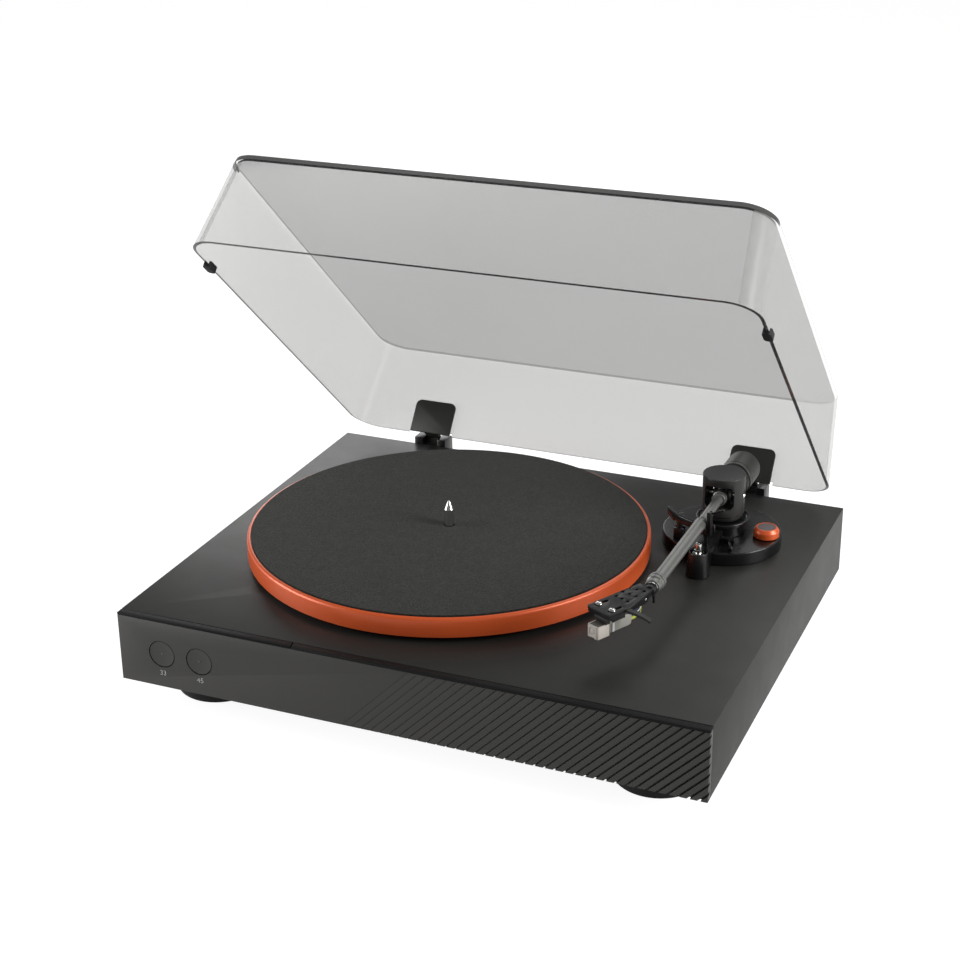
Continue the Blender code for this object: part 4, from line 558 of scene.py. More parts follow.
def standing(place, lean=0.0):
    """Turns what lies in X and Y up into X and Z, at a place."""
    return Matrix.Translation(place) @ about("X", math.pi / 2 + lean)


def about(axis, angle):
    """A turn about one axis."""
    return Matrix.Rotation(angle, 4, axis)


# Materials

def add(owner, kind, inputs=None, **values):
    """Adds a node to a material or a world. Its inputs are set, or linked to another node's output."""
    made = owner.node_tree.nodes.new(kind)
    for key, value in values.items():
        setattr(made, key, value)
    for key, value in (inputs or {}).items():
        if isinstance(value, bpy.types.NodeSocket):
            owner.node_tree.links.new(value, made.inputs[key])
        else:
            made.inputs[key].default_value = value
    return made


def feed(mat, key, output):
    """Links an output to the material's shader."""
    mat.node_tree.links.new(output, mat.node_tree.nodes["Principled BSDF"].inputs[key])


def place_of(mat, scale=(1, 1, 1)):
    """Object coordinates, stretched."""
    spot = add(mat, "ShaderNodeTexCoord")
    return add(mat, "ShaderNodeMapping", {"Vector": spot.outputs["Object"], "Scale": scale}).outputs["Vector"]


def noise(mat, size, detail=3.0, roughness=0.5, **where):
    """Noise whose grains are about one size, in metres."""
    return add(mat, "ShaderNodeTexNoise", {"Vector": place_of(mat, **where), "Scale": 1 / size,
                                           "Detail": detail, "Roughness": roughness}).outputs["Fac"]


def blend(mat, factor, first, second):
    """Two colours mixed by a factor."""
    mixed = add(mat, "ShaderNodeMix", {0: factor, 6: (*first, 1), 7: (*second, 1)}, data_type="RGBA")
    return mixed.outputs[2]


def between(owner, value, low, high, start=0.0, end=1.0):
    """A value spread from one range to another."""
    return add(owner, "ShaderNodeMapRange", {"Value": value, "From Min": start, "From Max": end,
                                             "To Min": low, "To Max": high}).outputs["Result"]


def combine(owner, operation, first, second):
    return add(owner, "ShaderNodeMath", {0: first, 1: second}, operation=operation).outputs["Value"]


def grain(mat, height, depth, strength):
    """Surface relief from a pattern, with its depth in metres."""
    bump = add(mat, "ShaderNodeBump", {"Height": height, "Distance": depth, "Strength": strength})
    feed(mat, "Normal", bump.outputs["Normal"])


def colour_of(key, own=None):
    """A colour from its hex code, from its name in the settings, or as a share of the piece's own colour."""
    if not isinstance(key, str):
        return [part * key for part in own]
    return linear(key) if key.startswith("#") else list(getattr(settings("colours"), key))


def surface(name, colour, roughness, metallic=0.0, shade=None, sheen=None, relief=None, stretch=(1, 1, 1),
            extra=None, **more):
    """A material with its plain values and up to three patterns of noise.

    shade is two colours, sheen two roughnesses, and relief a depth and a strength. The size of its
    grains in metres follows in each, and then its detail and its roughness. stretch is for the last two.
    """
    mat = bpy.data.materials.new(name)
    mat.use_nodes = True
    own = colour_of(colour)
    values = {"Base Color": (*own, 1), "Roughness": roughness, "Metallic": metallic}
    values.update({key.replace("_", " "): value for key, value in more.items()})
    for key, value in values.items():
        mat.node_tree.nodes["Principled BSDF"].inputs[key].default_value = value
    if shade:
        first, second = (colour_of(part, own) for part in shade[:2])
        feed(mat, "Base Color", blend(mat, noise(mat, *shade[2:]), first, second))
    if sheen:
        feed(mat, "Roughness", between(mat, noise(mat, *sheen[2:], scale=stretch), *sheen[:2]))
    if relief:
        grain(mat, noise(mat, *relief[2:], scale=stretch), *relief[:2])
    if extra:
        extra(mat)
    return mat


def lathe_lines(mat):
    lines = add(mat, "ShaderNodeTexWave", {"Vector": place_of(mat), "Scale": 1 / 0.0035, "Distortion": 1.5,
                                           "Detail": 2.0}, wave_type="BANDS", bands_direction="Z")
    feed(mat, "Roughness", between(mat, lines.outputs["Fac"], 0.3, 0.4))


def matted_fibres(mat):
    fibres = noise(mat, 0.0011, 6.0, 0.75)
    both = combine(mat, "ADD", between(mat, fibres, 0.0, 0.9, 0.42, 0.68),
                   between(mat, noise(mat, 0.012, 4.0, 0.65), 0.0, 0.15, 0.45, 0.8))
    feed(mat, "Base Color", blend(mat, both, colour_of("felt"), colour_of("felt_fibre")))
    grain(mat, fibres, 0.0006, 0.8)


def copper_runs(mat):
    runs = add(mat, "ShaderNodeTexBrick", {"Vector": place_of(mat), "Scale": 1 / 0.012, "Mortar Size": 0.03})
    feed(mat, "Base Color", blend(mat, runs.outputs["Fac"], linear("#0d4c2c"), linear("#2a8a55")))


def see_through(square_on, grazing):
    """A tint that thickens as the sheet turns away from the eye, because more of it is looked through.

    Both faces' share of it is put on the face that is turned to the eye.
    """
    def extra(mat):
        facing = add(mat, "ShaderNodeLayerWeight", {"Blend": 0.5})
        share = between(mat, facing.outputs["Facing"], square_on, grazing, 0.1, 0.8)
        front = combine(mat, "SUBTRACT", 1.0, add(mat, "ShaderNodeNewGeometry").outputs["Backfacing"])
        feed(mat, "Alpha", combine(mat, "MULTIPLY", share, front))
    return extra


def plastic_core(code):
    # PVC over a fine stranded lead, or a socket's coloured core: soft and slightly glossy.
    return dict(colour=code, roughness=0.42, sheen=(0.36, 0.5, 0.001))


# Each finish with the CAD material that it is shown as
FINISHES = {
    # PVC film laid over fibreboard: a very fine embossed grain, and a faint unevenness in its sheen.
    "film_wrap": ("plinth_vinyl", dict(
        colour="wrap", roughness=0.42, shade=(0.88, 1.1, 0.05, 2.0), sheen=(0.38, 0.48, 0.02),
        relief=(0.00004, 0.35, 0.0006, 4.0, 0.6), Specular_IOR_Level=0.32)),
    # ABS from a spark-eroded mould: satin, with a fine even texture.
    "moulded_abs": ("fascia_plastic", dict(
        colour="fascia", roughness=0.46, shade=(0.92, 1.06, 0.03, 2.0), sheen=(0.42, 0.52, 0.0015),
        relief=(0.00003, 0.3, 0.0005, 3.0, 0.6))),
    # Turned aluminium under a translucent orange satin lacquer: fine lathe lines catch the light.
    "orange_coat": ("orange_aluminium", dict(
        colour="platter", roughness=0.38, metallic=0.2, shade=(0.93, 1, 0.04, 2.0),
        relief=(0.00002, 0.25, 0.0008, 3.0, 0.6), stretch=(0.15, 0.15, 4.0), extra=lathe_lines,
        Coat_Weight=0.3, Coat_Roughness=0.25)),
    # Pressed felt: short matted fibres, drawn a little coarser than real so that they show.
    "wool_felt": ("felt", dict(
        colour="felt", roughness=0.95, extra=matted_fibres, Specular_IOR_Level=0.12, Sheen_Weight=0.12,
        Sheen_Roughness=0.6)),
    # Moulded rubber: matt, slightly dusty on its flats.
    "soft_rubber": ("rubber", dict(
        colour="rubber", roughness=0.62, sheen=(0.55, 0.72, 0.004), relief=(0.00004, 0.3, 0.0007),
        Specular_IOR_Level=0.35)),
    # Black ABS from a polished mould: soft clear reflections, slightly uneven like all mouldings.
    "polished_abs": ("arm_plastic", dict(
        colour="moulding", roughness=0.24, sheen=(0.2, 0.3, 0.006), relief=(0.00002, 0.2, 0.003, 2.0))),
    # Aluminium tube, bead blasted and anodised grey: satin, with faint draw lines along its length.
    "anodised_tube": ("arm_aluminium", dict(
        colour="tube", roughness=0.36, metallic=0.6, sheen=(0.3, 0.42, 0.0009, 3.0, 0.6),
        relief=(0.00001, 0.25, 0.0009, 3.0, 0.6), stretch=(1.0, 0.04, 1.0))),
    # Stamped aluminium sheet, anodised black: satin and even.
    "black_anodised": ("head_aluminium", dict(
        colour="head", roughness=0.38, metallic=0.3, sheen=(0.33, 0.44, 0.0012),
        relief=(0.00002, 0.25, 0.0004))),
    # Bright chrome plating on turned steel: nearly a mirror, with the faintest haze.
    "chrome_plate": ("chrome", dict(
        colour="#e4e4e2", roughness=0.07, metallic=1.0, sheen=(0.05, 0.11, 0.002))),
    # Zinc-plated steel: greyish, cloudy and a little dull.
    "zinc_plate": ("steel", dict(
        colour="#a8a9a6", roughness=0.32, metallic=1.0, shade=("#989a97", "#b6b6b2", 0.006, 4.0),
        sheen=(0.26, 0.44, 0.004, 4.0))),
    # Free-cutting brass off the lathe: warm, with fine turning marks.
    "turned_brass": ("brass", dict(
        colour="#c9a14f", roughness=0.25, metallic=1.0, sheen=(0.2, 0.34, 0.0008))),
    # Cast acrylic sheet with a neutral smoke tint, polished: clear, and glossy on both faces.
    "smoked_acrylic": ("smoked_acrylic", dict(
        colour="smoke", roughness=0.05, sheen=(0.035, 0.065, 0.05, 2.0), extra=see_through(0.34, 0.54),
        IOR=1.49)),
    # The cover's front wall: the same tint drawn much fainter, as painted light that makes the front sheet
    # read brighter than the other walls.
    "front_acrylic": ("smoked_acrylic", dict(
        colour="smoke", roughness=0.05, sheen=(0.035, 0.065, 0.05, 2.0), extra=see_through(0.01, 0.1),
        IOR=1.49)),
    # The cover's top panel: its tint gathers sooner than the walls', a denser copy that is painted shade to
    # make the top sheet read darker; its gloss is dulled.
    "top_acrylic": ("smoked_acrylic", dict(
        colour="smoke", roughness=0.45, sheen=(0.315, 0.585, 0.05, 2.0), extra=see_through(0.36, 0.73),
        IOR=1.49)),
    # The sheet seen along its own plane: the tint adds up until it is nearly black.
    "acrylic_edge": ("smoked_acrylic", dict(
        colour="#232422", roughness=0.16, sheen=(0.1, 0.18, 0.01, 2.0), IOR=1.49, Alpha=0.93)),
    # Warm grey ABS of the stylus holder: satin, with a slight mottle.
    "warm_abs": ("stylus_plastic", dict(
        colour="stylus", roughness=0.4, shade=(0.95, 1, 0.004, 2.0), relief=(0.00002, 0.2, 0.0005))),
    # Pad-printed light grey ink: flat and matt.
    "number_ink": ("stylus_plastic", dict(colour="print", roughness=0.6, shade=(0.9, 1, 0.0004))),
    # Glass-fibre circuit board under green lacquer: copper runs show as lighter lines.
    "lacquered_board": ("circuit_board", dict(colour="#0f5a34", roughness=0.35, extra=copper_runs)),
    # Black ABS from a finely sparked mould: satin, so that its edges read as soft grey lines.
    "satin_black": ("black_plastic", dict(
        colour="#1c1c1b", roughness=0.44, sheen=(0.38, 0.5, 0.003), relief=(0.00002, 0.25, 0.0005))),
    # Matt strip along the fascia's top edge, drawn near black: painted shade for the shadowed gap there, so
    # that it reads as a dark line.
    "matt_strip": ("fascia_plastic", dict(
        colour="#0f0f0f", roughness=0.6, sheen=(0.52, 0.66, 0.003), Specular_IOR_Level=0.2)),
    # Moulded hinge plate: drawn dark greenish grey, lighter than black, as a painted sheen for the light that
    # its face catches.
    "hinge_abs": ("arm_plastic", dict(colour="#30322e", roughness=0.42, sheen=(0.36, 0.48, 0.004))),
    # Powder-coated casting: dark grey, satin and faintly pebbled.
    "column_coat": ("arm_plastic", dict(
        colour="column", roughness=0.36, sheen=(0.32, 0.42, 0.004), relief=(0.00003, 0.25, 0.0006))),
    # Turned weight under a satin grey lacquer: turning marks run round it.
    "weight_coat": ("weight_metal", dict(
        colour="weight", roughness=0.4, metallic=0.6, shade=(0.92, 1, 0.012, 2.0),
        sheen=(0.34, 0.48, 0.001, 3.0, 0.6), stretch=(0.1, 4.0, 0.1))),
    # Light grey moulded shell of the cartridge: satin, with a slight mottle.
    "light_abs": ("stylus_plastic", dict(colour="#9f9d95", roughness=0.45, shade=(0.92, 1, 0.003, 2.0))),
    # White moulded clip: clean and softly glossy.
    "white_abs": ("stylus_plastic", dict(colour="#dcdcd8", roughness=0.4, sheen=(0.36, 0.46, 0.001))),
    # Brownish grey, matt: the small lamps' own colour, and on the stylus holder's top painted shade from the
    # headshell above it.
    "brown_abs": ("stylus_plastic", dict(colour="#6f6a64", roughness=0.55, shade=(0.9, 1, 0.002, 2.0))),
    # Inlaid grey disc of the small knob: matt, with a slight mottle.
    "grey_inlay": ("black_plastic", dict(colour="inlay", roughness=0.5, shade=(0.92, 1, 0.002, 2.0))),
    "lead_red": ("stylus_plastic", plastic_core("#a8362a")),
    "lead_green": ("stylus_plastic", plastic_core("#a9b23a")),
    "lead_blue": ("stylus_plastic", plastic_core("#2e5f9a")),
    "lead_white": ("stylus_plastic", plastic_core("#dcdcd6")),
    "jack_red": ("black_plastic", plastic_core("#a8362a")),
    "jack_white": ("black_plastic", plastic_core("#dcdcd6")),
}


def finish(name):
    """A material by its name, made when it is first asked for."""
    return bpy.data.materials.get(name) or surface(name, **FINISHES[name][1])


def dress(obj, material, body, *nodes, limit=30):
    """Gives a finished piece its material, its body and the nodes that it stands for."""
    obj.data.materials.clear()
    obj.data.materials.append(finish(material))
    take(obj)
    bpy.ops.object.shade_smooth_by_angle(angle=math.radians(limit))
    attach(obj, body)
    if nodes:
        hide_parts(*nodes)
    return obj


def keep(material, *nodes):
    """A node whose own shape stays, with a better material."""
    for name in nodes:
        for slot in frame["nodes"][name].material_slots:
            slot.material = finish(material)


class TurntablePiece:
    """What every operator here shares."""
    bl_options = {"REGISTER", "UNDO"}


# Plinth

class TURNTABLE_OT_plinth(TurntablePiece, bpy.types.Operator):
    """Film-wrapped plinth, hollow from below, with its rear opening and the holes in its top board"""
    bl_idname = "turntable.plinth"
    bl_label = "Plinth"

    def execute(self, context):
        sizes = settings("plinth")
        body = block("plinth", PLINTH_LOW, PLINTH_HIGH)
        edit(body)
        pick("FACE", lambda middle, normal: normal.z < -0.9)
        bpy.ops.mesh.inset(thickness=sizes.wall)
        hollow = TOP - sizes.top - FLOOR_GAP
        bpy.ops.mesh.extrude_region_move(TRANSFORM_OT_translate={"value": (0, 0, hollow)})
        done(body)
        soften(body, sizes.edge)
        low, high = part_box("rear_panel")
        gap = Vector((MERGE, OVER, MERGE))
        tools = [block("panel_tool", low - gap - Vector((0, sizes.wall, 0)), high + gap)]
        for name, radius in (("bearing_well", 0.0088), ("motor_pulley", 0.0087), ("arm_nut", 0.0113)):
            middle = middle_of(name)
            tools.append(peg("hole_tool", radius, (middle.x, middle.y, TOP - sizes.top - OVER),
                             (middle.x, middle.y, TOP + OVER)))
        dress(carve(body, *tools), "film_wrap", "plinth", "plinth_body")
        keep("polished_abs", "bottom_cover")
        return {"FINISHED"}


class TURNTABLE_OT_fascia(TurntablePiece, bpy.types.Operator):
    """Front moulding with slanted grooves that fade towards the left, and its two edge strips"""
    bl_idname = "turntable.fascia"
    bl_label = "Fascia"

    def execute(self, context):
        sizes = settings("plinth")
        front = FASCIA_LOW + Vector((0, SKIN, 0))
        panel = soften(block("fascia", front, FASCIA_HIGH), SKIN * 3)
        bars = []
        count = int((FASCIA_HIGH.x - sizes.groove_start) / sizes.groove_pitch) + 1
        reach = (FASCIA_HIGH.z - FASCIA_LOW.z) * 2
        for i in range(count):
            share = i / (count - 1)
            width = sizes.groove_fine + (sizes.groove_bold - sizes.groove_fine) * share
            depth = sizes.groove_shallow + (sizes.groove_deep - sizes.groove_shallow) * share
            bar = block("groove", (-width / 2, front.y - OVER, -reach), (width / 2, front.y + depth, reach))
            place = Matrix.Translation((sizes.groove_start + i * sizes.groove_pitch, 0, FASCIA_LOW.z))
            bars.append(settle(bar, place @ about("Y", sizes.groove_lean)))
        carve(panel, gather("grooves", *bars))
        for name in ("button_33", "button_45"):
            radius = half_width(name) + sizes.button_rim
            middle = middle_of(name)
            carve(panel, peg("bore", radius, (middle.x, front.y - OVER, middle.z),
                             (middle.x, FASCIA_HIGH.y + OVER, middle.z), FINE))
        dress(panel, "moulded_abs", "plinth", "front_fascia")
        for side, sign in (("left", 1), ("right", -1)):
            low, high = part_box("edge_strip_" + side)
            strip = block("strip_" + side, low + Vector((0, SKIN, 0)), high)
            inner = high.x if sign > 0 else low.x
            edit(strip)
            pick("VERT", lambda spot: abs(spot.x - inner) < MERGE and spot.y > (low.y + high.y) / 2)
            bpy.ops.transform.translate(value=(-2 * sizes.strip_lean if sign > 0 else 0, 0, 0))
            pick("VERT", lambda spot: abs(spot.x - inner) < MERGE and spot.y < (low.y + high.y) / 2)
            bpy.ops.transform.translate(value=(0 if sign > 0 else 2 * sizes.strip_lean, 0, 0))
            # Near-black finish: painted shade for the gap along the fascia's edge.
            dress(soften(done(strip), SKIN * 2), "matt_strip", "plinth", "edge_strip_" + side)
        return {"FINISHED"}


class TURNTABLE_OT_feet(TurntablePiece, bpy.types.Operator):
    """Four turned rubber feet"""
    bl_idname = "turntable.feet"
    bl_label = "Feet"

    def execute(self, context):
        low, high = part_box("foot_front_left")
        radius, tall = half_width("foot_front_left"), high.z - low.z
        sole = radius * 0.9
        profile = [(0, tall), (radius - 0.001, tall), (radius, tall - 0.001), (radius, 0.0008),
                   (radius - 0.0008, 0), (sole - 0.006, 0), (sole - 0.0075, 0.0012), (0, 0.0012)]
        foot = turned("foot", profile, (0, 0, 0.0005, 0.0005, 0.0005, 0, 0, 0), FINE)
        for end in ("front", "rear"):
            for side in ("left", "right"):
                name = "foot_%s_%s" % (end, side)
                piece = settle(copy_of(foot, "pad_%s_%s" % (end, side)), Matrix.Translation(foot_of(name)))
                dress(piece, "soft_rubber", "plinth", name)
        bpy.data.objects.remove(foot, do_unlink=True)
        return {"FINISHED"}


class TURNTABLE_OT_speed_buttons(TurntablePiece, bpy.types.Operator):
    """Two dished round buttons with a small lamp each, and the numbers under them"""
    bl_idname = "turntable.speed_buttons"
    bl_label = "Speed buttons"

    def execute(self, context):
        sizes = settings("plinth")
        for number in ("33", "45"):
            low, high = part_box("button_" + number)
            radius = half_width("button_" + number)
            middle = middle_of("button_" + number)
            middle.y = low.y
            deep = high.y - low.y
            face = [(0.00085, -0.0004), (0.00085, -sizes.button_dish)]
            face += [(radius * share, -sizes.button_dish * (1 - share ** 2))
                     for share in (0.25, 0.45, 0.62, 0.76, 0.86)]
            profile = [(0, -0.0004)] + face + [(radius - 0.0009, 0), (radius - 0.0003, -0.0001),
                                               (radius, -0.0005), (radius, -0.0045), (0.003, -0.0045),
                                               (0.003, -deep), (0, -deep)]
            frame_of = upright((0, -1, 0), middle)
            button = settle(turned("speed_button_" + number, profile, steps=FINE), frame_of)
            dress(button, "moulded_abs", "speed_button_" + number, "button_" + number)
            bulb = [(0, -0.00015), (0.0005, -0.0002), (0.00075, -0.00035), (0.00075, -0.0006), (0, -0.0006)]
            lamp = turned("speed_lamp_" + number, bulb, steps=SMALL)
            dress(settle(lamp, frame_of), "brown_abs", "speed_button_" + number)
            spot = Vector((middle.x, FASCIA_LOW.y + SKIN / 2 + MERGE, middle.z - sizes.number_drop))
            digits = lettering("speed_number_" + number, number, sizes.number_size, SKIN)
            dress(settle(digits, standing(spot)), "number_ink", "plinth")
        return {"FINISHED"}


# Platter and drive

class TURNTABLE_OT_platter(TurntablePiece, bpy.types.Operator):
    """Orange platter with its rim, belt track and hub"""
    bl_idname = "turntable.platter"
    bl_label = "Platter"

    def execute(self, context):
        sizes = settings("drive")
        low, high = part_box("platter")
        radius = half_width("platter")
        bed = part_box("slip_mat")[0].z - GAP
        bed_r = half_width("slip_mat") + 0.001
        web = bed - sizes.platter_web
        inner = radius - sizes.platter_rim
        bore = sizes.spindle + GAP
        track = low.z + 0.0005
        profile = [(bore, bed), (bed_r, bed), (bed_r, high.z), (radius, high.z), (radius, low.z),
                   (inner, low.z), (inner, web), (sizes.track, web), (sizes.track, track),
                   (sizes.track - sizes.track_wall, track), (sizes.track - sizes.track_wall, web),
                   (sizes.hub, web), (sizes.hub, low.z + 0.002), (bore, low.z + 0.002), (bore, bed)]
        edge = sizes.platter_edge
        radii = (0, 0, 0.0003, edge, 0.001, 0.0006, 0.002, 0.001, 0.0003, 0.0003, 0.001, 0.001, 0.0005, 0, 0)
        disc = turned("platter_disc", profile, radii, FINE * 2, (SPINDLE.x, SPINDLE.y, 0))
        dress(disc, "orange_coat", "turntable", "platter")
        return {"FINISHED"}


class TURNTABLE_OT_mat(TurntablePiece, bpy.types.Operator):
    """Felt slip mat with softly rounded edges"""
    bl_idname = "turntable.mat"
    bl_label = "Slip mat"

    def execute(self, context):
        sizes = settings("drive")
        low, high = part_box("slip_mat")
        radius = half_width("slip_mat") + 0.0007
        hole = sizes.spindle + 0.0006
        profile = [(hole, high.z), (radius, high.z), (radius, low.z), (hole, low.z), (hole, high.z)]
        radii = (0, sizes.mat_edge, 0, 0, 0)
        mat = turned("felt_mat", profile, radii, FINE, (SPINDLE.x, SPINDLE.y, 0), 6)
        dress(mat, "wool_felt", "turntable", "slip_mat")
        return {"FINISHED"}


class TURNTABLE_OT_spindle(TurntablePiece, bpy.types.Operator):
    """Polished spindle with its pointed tip"""
    bl_idname = "turntable.spindle"
    bl_label = "Spindle"

    def execute(self, context):
        sizes = settings("drive")
        low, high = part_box("spindle")
        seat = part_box("platter")[0].z + 0.002
        collar = half_width("spindle")
        base = TOP + 0.0021
        profile = [(0, high.z), (sizes.tip, high.z), (sizes.spindle, high.z - sizes.cone),
                   (sizes.spindle, seat), (collar, seat - 0.0003), (collar, base), (sizes.spindle, base),
                   (sizes.spindle, low.z), (0, low.z)]
        radii = (0, 0.0006, 0.0006, 0, 0.0002, 0.0002, 0, 0.0004, 0)
        shaft = turned("spindle_shaft", profile, radii, ROUND, (SPINDLE.x, SPINDLE.y, 0))
        dress(shaft, "chrome_plate", "turntable", "spindle")
        keep("turned_brass", "bearing_well", "motor_pulley")
        keep("soft_rubber", "drive_belt")
        keep("zinc_plate", "motor", "motor_bracket", "arm_nut")
        keep("lacquered_board", "main_board", "button_board")
        return {"FINISHED"}


# Clear cover and hinges

def cover_frame():
    """Turns what is laid out closed to where the open cover is."""
    return Matrix.Translation(HINGE) @ about("X", -LID_OPEN) @ Matrix.Translation(-HINGE)


class TURNTABLE_OT_cover(TurntablePiece, bpy.types.Operator):
    """Smoked clear cover: one thin shell with leaning walls, round corners and two notches"""
    bl_idname = "turntable.cover"
    bl_label = "Clear cover"

    def execute(self, context):
        sizes = settings("cover")
        back = PLINTH_HIGH.y - sizes.margin
        rim = TOP + sizes.lift
        middle = Vector((0, back - sizes.depth / 2, rim))
        clear_selection()
        bpy.ops.mesh.primitive_plane_add(size=1, location=middle)
        shell = named("cover_shell")
        shell.scale = (sizes.width, sizes.depth, 1)
        bpy.ops.object.transform_apply(location=True, rotation=True, scale=True)
        edit(shell)
        bpy.ops.mesh.select_all(action="SELECT")
        bpy.ops.mesh.inset(thickness=sizes.draft, depth=sizes.height)
        pick("EDGE", lambda spot, way: abs(way.z) > 0.9)
        bpy.ops.mesh.bevel(offset=sizes.corner, segments=14, affect="EDGES")
        take(done(shell))
        wall = shell.modifiers.new("wall", "SOLIDIFY")
        wall.thickness = sizes.wall
        wall.offset = -1
        wall.use_even_offset = True
        bpy.ops.object.modifier_apply(modifier=wall.name)
        edit(shell)
        bpy.ops.mesh.select_all(action="SELECT")
        bpy.ops.mesh.bisect(plane_co=(0, 0, rim + sizes.height - sizes.band), plane_no=(0, 0, 1))
        pick("EDGE", lambda spot, way: spot.z > rim + sizes.height - MERGE and abs(way.z) < 0.1)
        bpy.ops.mesh.bevel(offset=sizes.edge, segments=3, affect="EDGES")
        done(shell)
        for side in ("left", "right"):
            x = middle_of("hinge_clip_" + side).x
            tool = block("notch", (x - sizes.notch / 2, back - sizes.wall * 3, rim - OVER),
                         (x + sizes.notch / 2, back + OVER, rim + sizes.notch_high))
            bevel(tool, sizes.notch_high * 0.6, 4, lambda spot, way: abs(way.y) > 0.9 and spot.z > rim)
            carve(shell, tool)
        dress(shell, "smoked_acrylic", "lid", "dust_cover", limit=25)
        for material in ("front_acrylic", "acrylic_edge", "top_acrylic"):
            shell.data.materials.append(finish(material))
        band = rim + sizes.height - sizes.band
        for face in shell.data.polygons:
            spot, normal = face.center, face.normal
            in_front = spot.y < middle.y - sizes.depth / 2 + sizes.corner + sizes.draft
            if spot.z < rim + MERGE and abs(normal.z) > 0.9:
                face.material_index = 2
            elif in_front and spot.z > band and abs(normal.z) < 0.97:
                face.material_index = 2
            # front wall: the fainter copy of the tint, painted light
            elif in_front and abs(normal.y) > 0.9 and abs(normal.z) < 0.5:
                face.material_index = 1
            # top panel: the denser copy of the tint, painted shade
            elif abs(normal.z) > 0.97:
                face.material_index = 3
        shell.data.transform(cover_frame())
        shell.data.update()
        return {"FINISHED"}


class TURNTABLE_OT_bumpers(TurntablePiece, bpy.types.Operator):
    """Soft stops that straddle the cover's side rims"""
    bl_idname = "turntable.bumpers"
    bl_label = "Bumpers"

    def execute(self, context):
        sizes = settings("cover")
        rim = TOP + sizes.lift
        back = PLINTH_HIGH.y - sizes.margin
        along = back - sizes.depth + 0.044
        for side, sign in SIDES:
            x = sign * (sizes.width - sizes.wall) / 2
            high = rim + 0.002
            half = sizes.wall / 2 + 0.0006
            stop = block("stop_" + side, (x - half - 0.0014, along - 0.0061, TOP + 0.0003),
                         (x + half + 0.0014, along + 0.0061, high))
            bevel(stop, 0.0026, 6, lambda spot, way: abs(way.z) > 0.9)
            carve(stop, block("slot", (x - half + SKIN, along - 0.02, rim - GAP),
                              (x + half, along + 0.02, high + OVER)))
            soften(stop, 0.0004)
            dress(settle(stop, cover_frame()), "soft_rubber", "lid", "lid_bumper_" + side)
        return {"FINISHED"}


class TURNTABLE_OT_hinges(TurntablePiece, bpy.types.Operator):
    """Cover hinges: brackets on the plinth, pins, and the plates inside the cover"""
    bl_idname = "turntable.hinges"
    bl_label = "Hinges"

    def execute(self, context):
        sizes = settings("cover")
        rim = TOP + sizes.lift
        back = PLINTH_HIGH.y - sizes.margin
        slope = math.atan(sizes.draft / sizes.height)
        for side in ("left", "right"):
            low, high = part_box("hinge_bracket_" + side)
            x = (low.x + high.x) / 2
            body = block("hinge_body_" + side, low, high)
            bevel(body, 0.004, 6,
                  lambda spot, way: abs(way.x) > 0.9 and spot.z > HINGE.z and spot.y > HINGE.y)
            carve(body, block("slot", (x - 0.0065, low.y - OVER, HINGE.z - 0.0052),
                              (x + 0.0065, high.y + OVER, high.z + OVER)))
            soften(body, 0.0004)
            dress(body, "polished_abs", "plinth", "hinge_bracket_" + side)
            pin = peg("hinge_rod_" + side, 0.0018, (low.x, HINGE.y, HINGE.z), (high.x, HINGE.y, HINGE.z))
            dress(soften(pin, 0.0003), "chrome_plate", "plinth", "hinge_pin_" + side)
            for n, sign in enumerate((-1, 1)):
                head = turned("hinge_screw_%s_%d" % (side, n + 1),
                              [(0, 0.0005), (0.0021, 0.0005), (0.0021, 0), (0, 0)], (0, 0.0004, 0, 0), SMALL)
                cross_cut(head, 0.0003, 0.0016, 0.0002)
                settle(head, upright((0, 1, 0), (x + sign * 0.0102, high.y, HINGE.z - 0.011)))
                dress(head, "zinc_plate", "plinth")
            outline = [(-0.018, 0), (0.018, 0), (0.018, 0.028), (-0.018, 0.028)]
            outline = rounded(outline, (0.0006, 0.0006, 0.005, 0.005), 8)
            flap = soften(plate("hinge_plate_" + side, outline, 0.0025), 0.0005)
            inner = back - sizes.wall - GAP
            settle(flap, standing((x, inner, rim), slope))
            arm_top = rim + 0.0027
            half, axle = 0.006, Vector((x, HINGE.y, HINGE.z))
            strap = block("strap", (x - half, inner - 0.0025, rim + GAP),
                          (x + half, HINGE.y + 0.0025, arm_top))
            tab = block("tab", beside(axle, -half, -0.0025), (x + half, HINGE.y + 0.0025, arm_top - GAP))
            eye = peg("eye", 0.0047, beside(axle, -half), beside(axle, half), ROUND)
            carve(strap, tab, eye, operation="UNION")
            carve(strap, peg("bore", 0.0021, beside(axle, -half - OVER), beside(axle, half + OVER)))
            clip = gather("hinge_flap_" + side, flap, soften(strap, 0.0003))
            # The flap's greenish grey is painted sheen.
            dress(settle(clip, cover_frame()), "hinge_abs", "lid", "hinge_clip_" + side)
        return {"FINISHED"}


# Arm

def arm_frame():
    """The arm's own axes where it is parked: X to the right of the arm and -Y towards its head."""
    return Matrix.Translation(PIVOT) @ about("Z", ARM_YAW)


def down_arm():
    """For turned pieces: local Z points back along the arm."""
    return arm_frame() @ about("X", -math.pi / 2)


def head_frame():
    """The cartridge's axes: origin in the middle of the headshell's front edge, -Y pointing forwards."""
    sizes = settings("head")
    place = Matrix.Translation((sizes.front_x, -sizes.front, 0))
    return arm_frame() @ place @ about("Z", -sizes.turn)


def deck(dx, dy, dz=0.0):
    """A place measured from the arm's pivot, and up from the plinth's top."""
    return Vector((PIVOT.x + dx, PIVOT.y + dy, TOP + dz))


def along_arm(node):
    """Where a node starts and ends along Y from the arm's pivot, drawn just inside its box."""
    low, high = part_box(node)
    return low.y - PIVOT.y + MERGE * 5, high.y - PIVOT.y - MERGE * 5


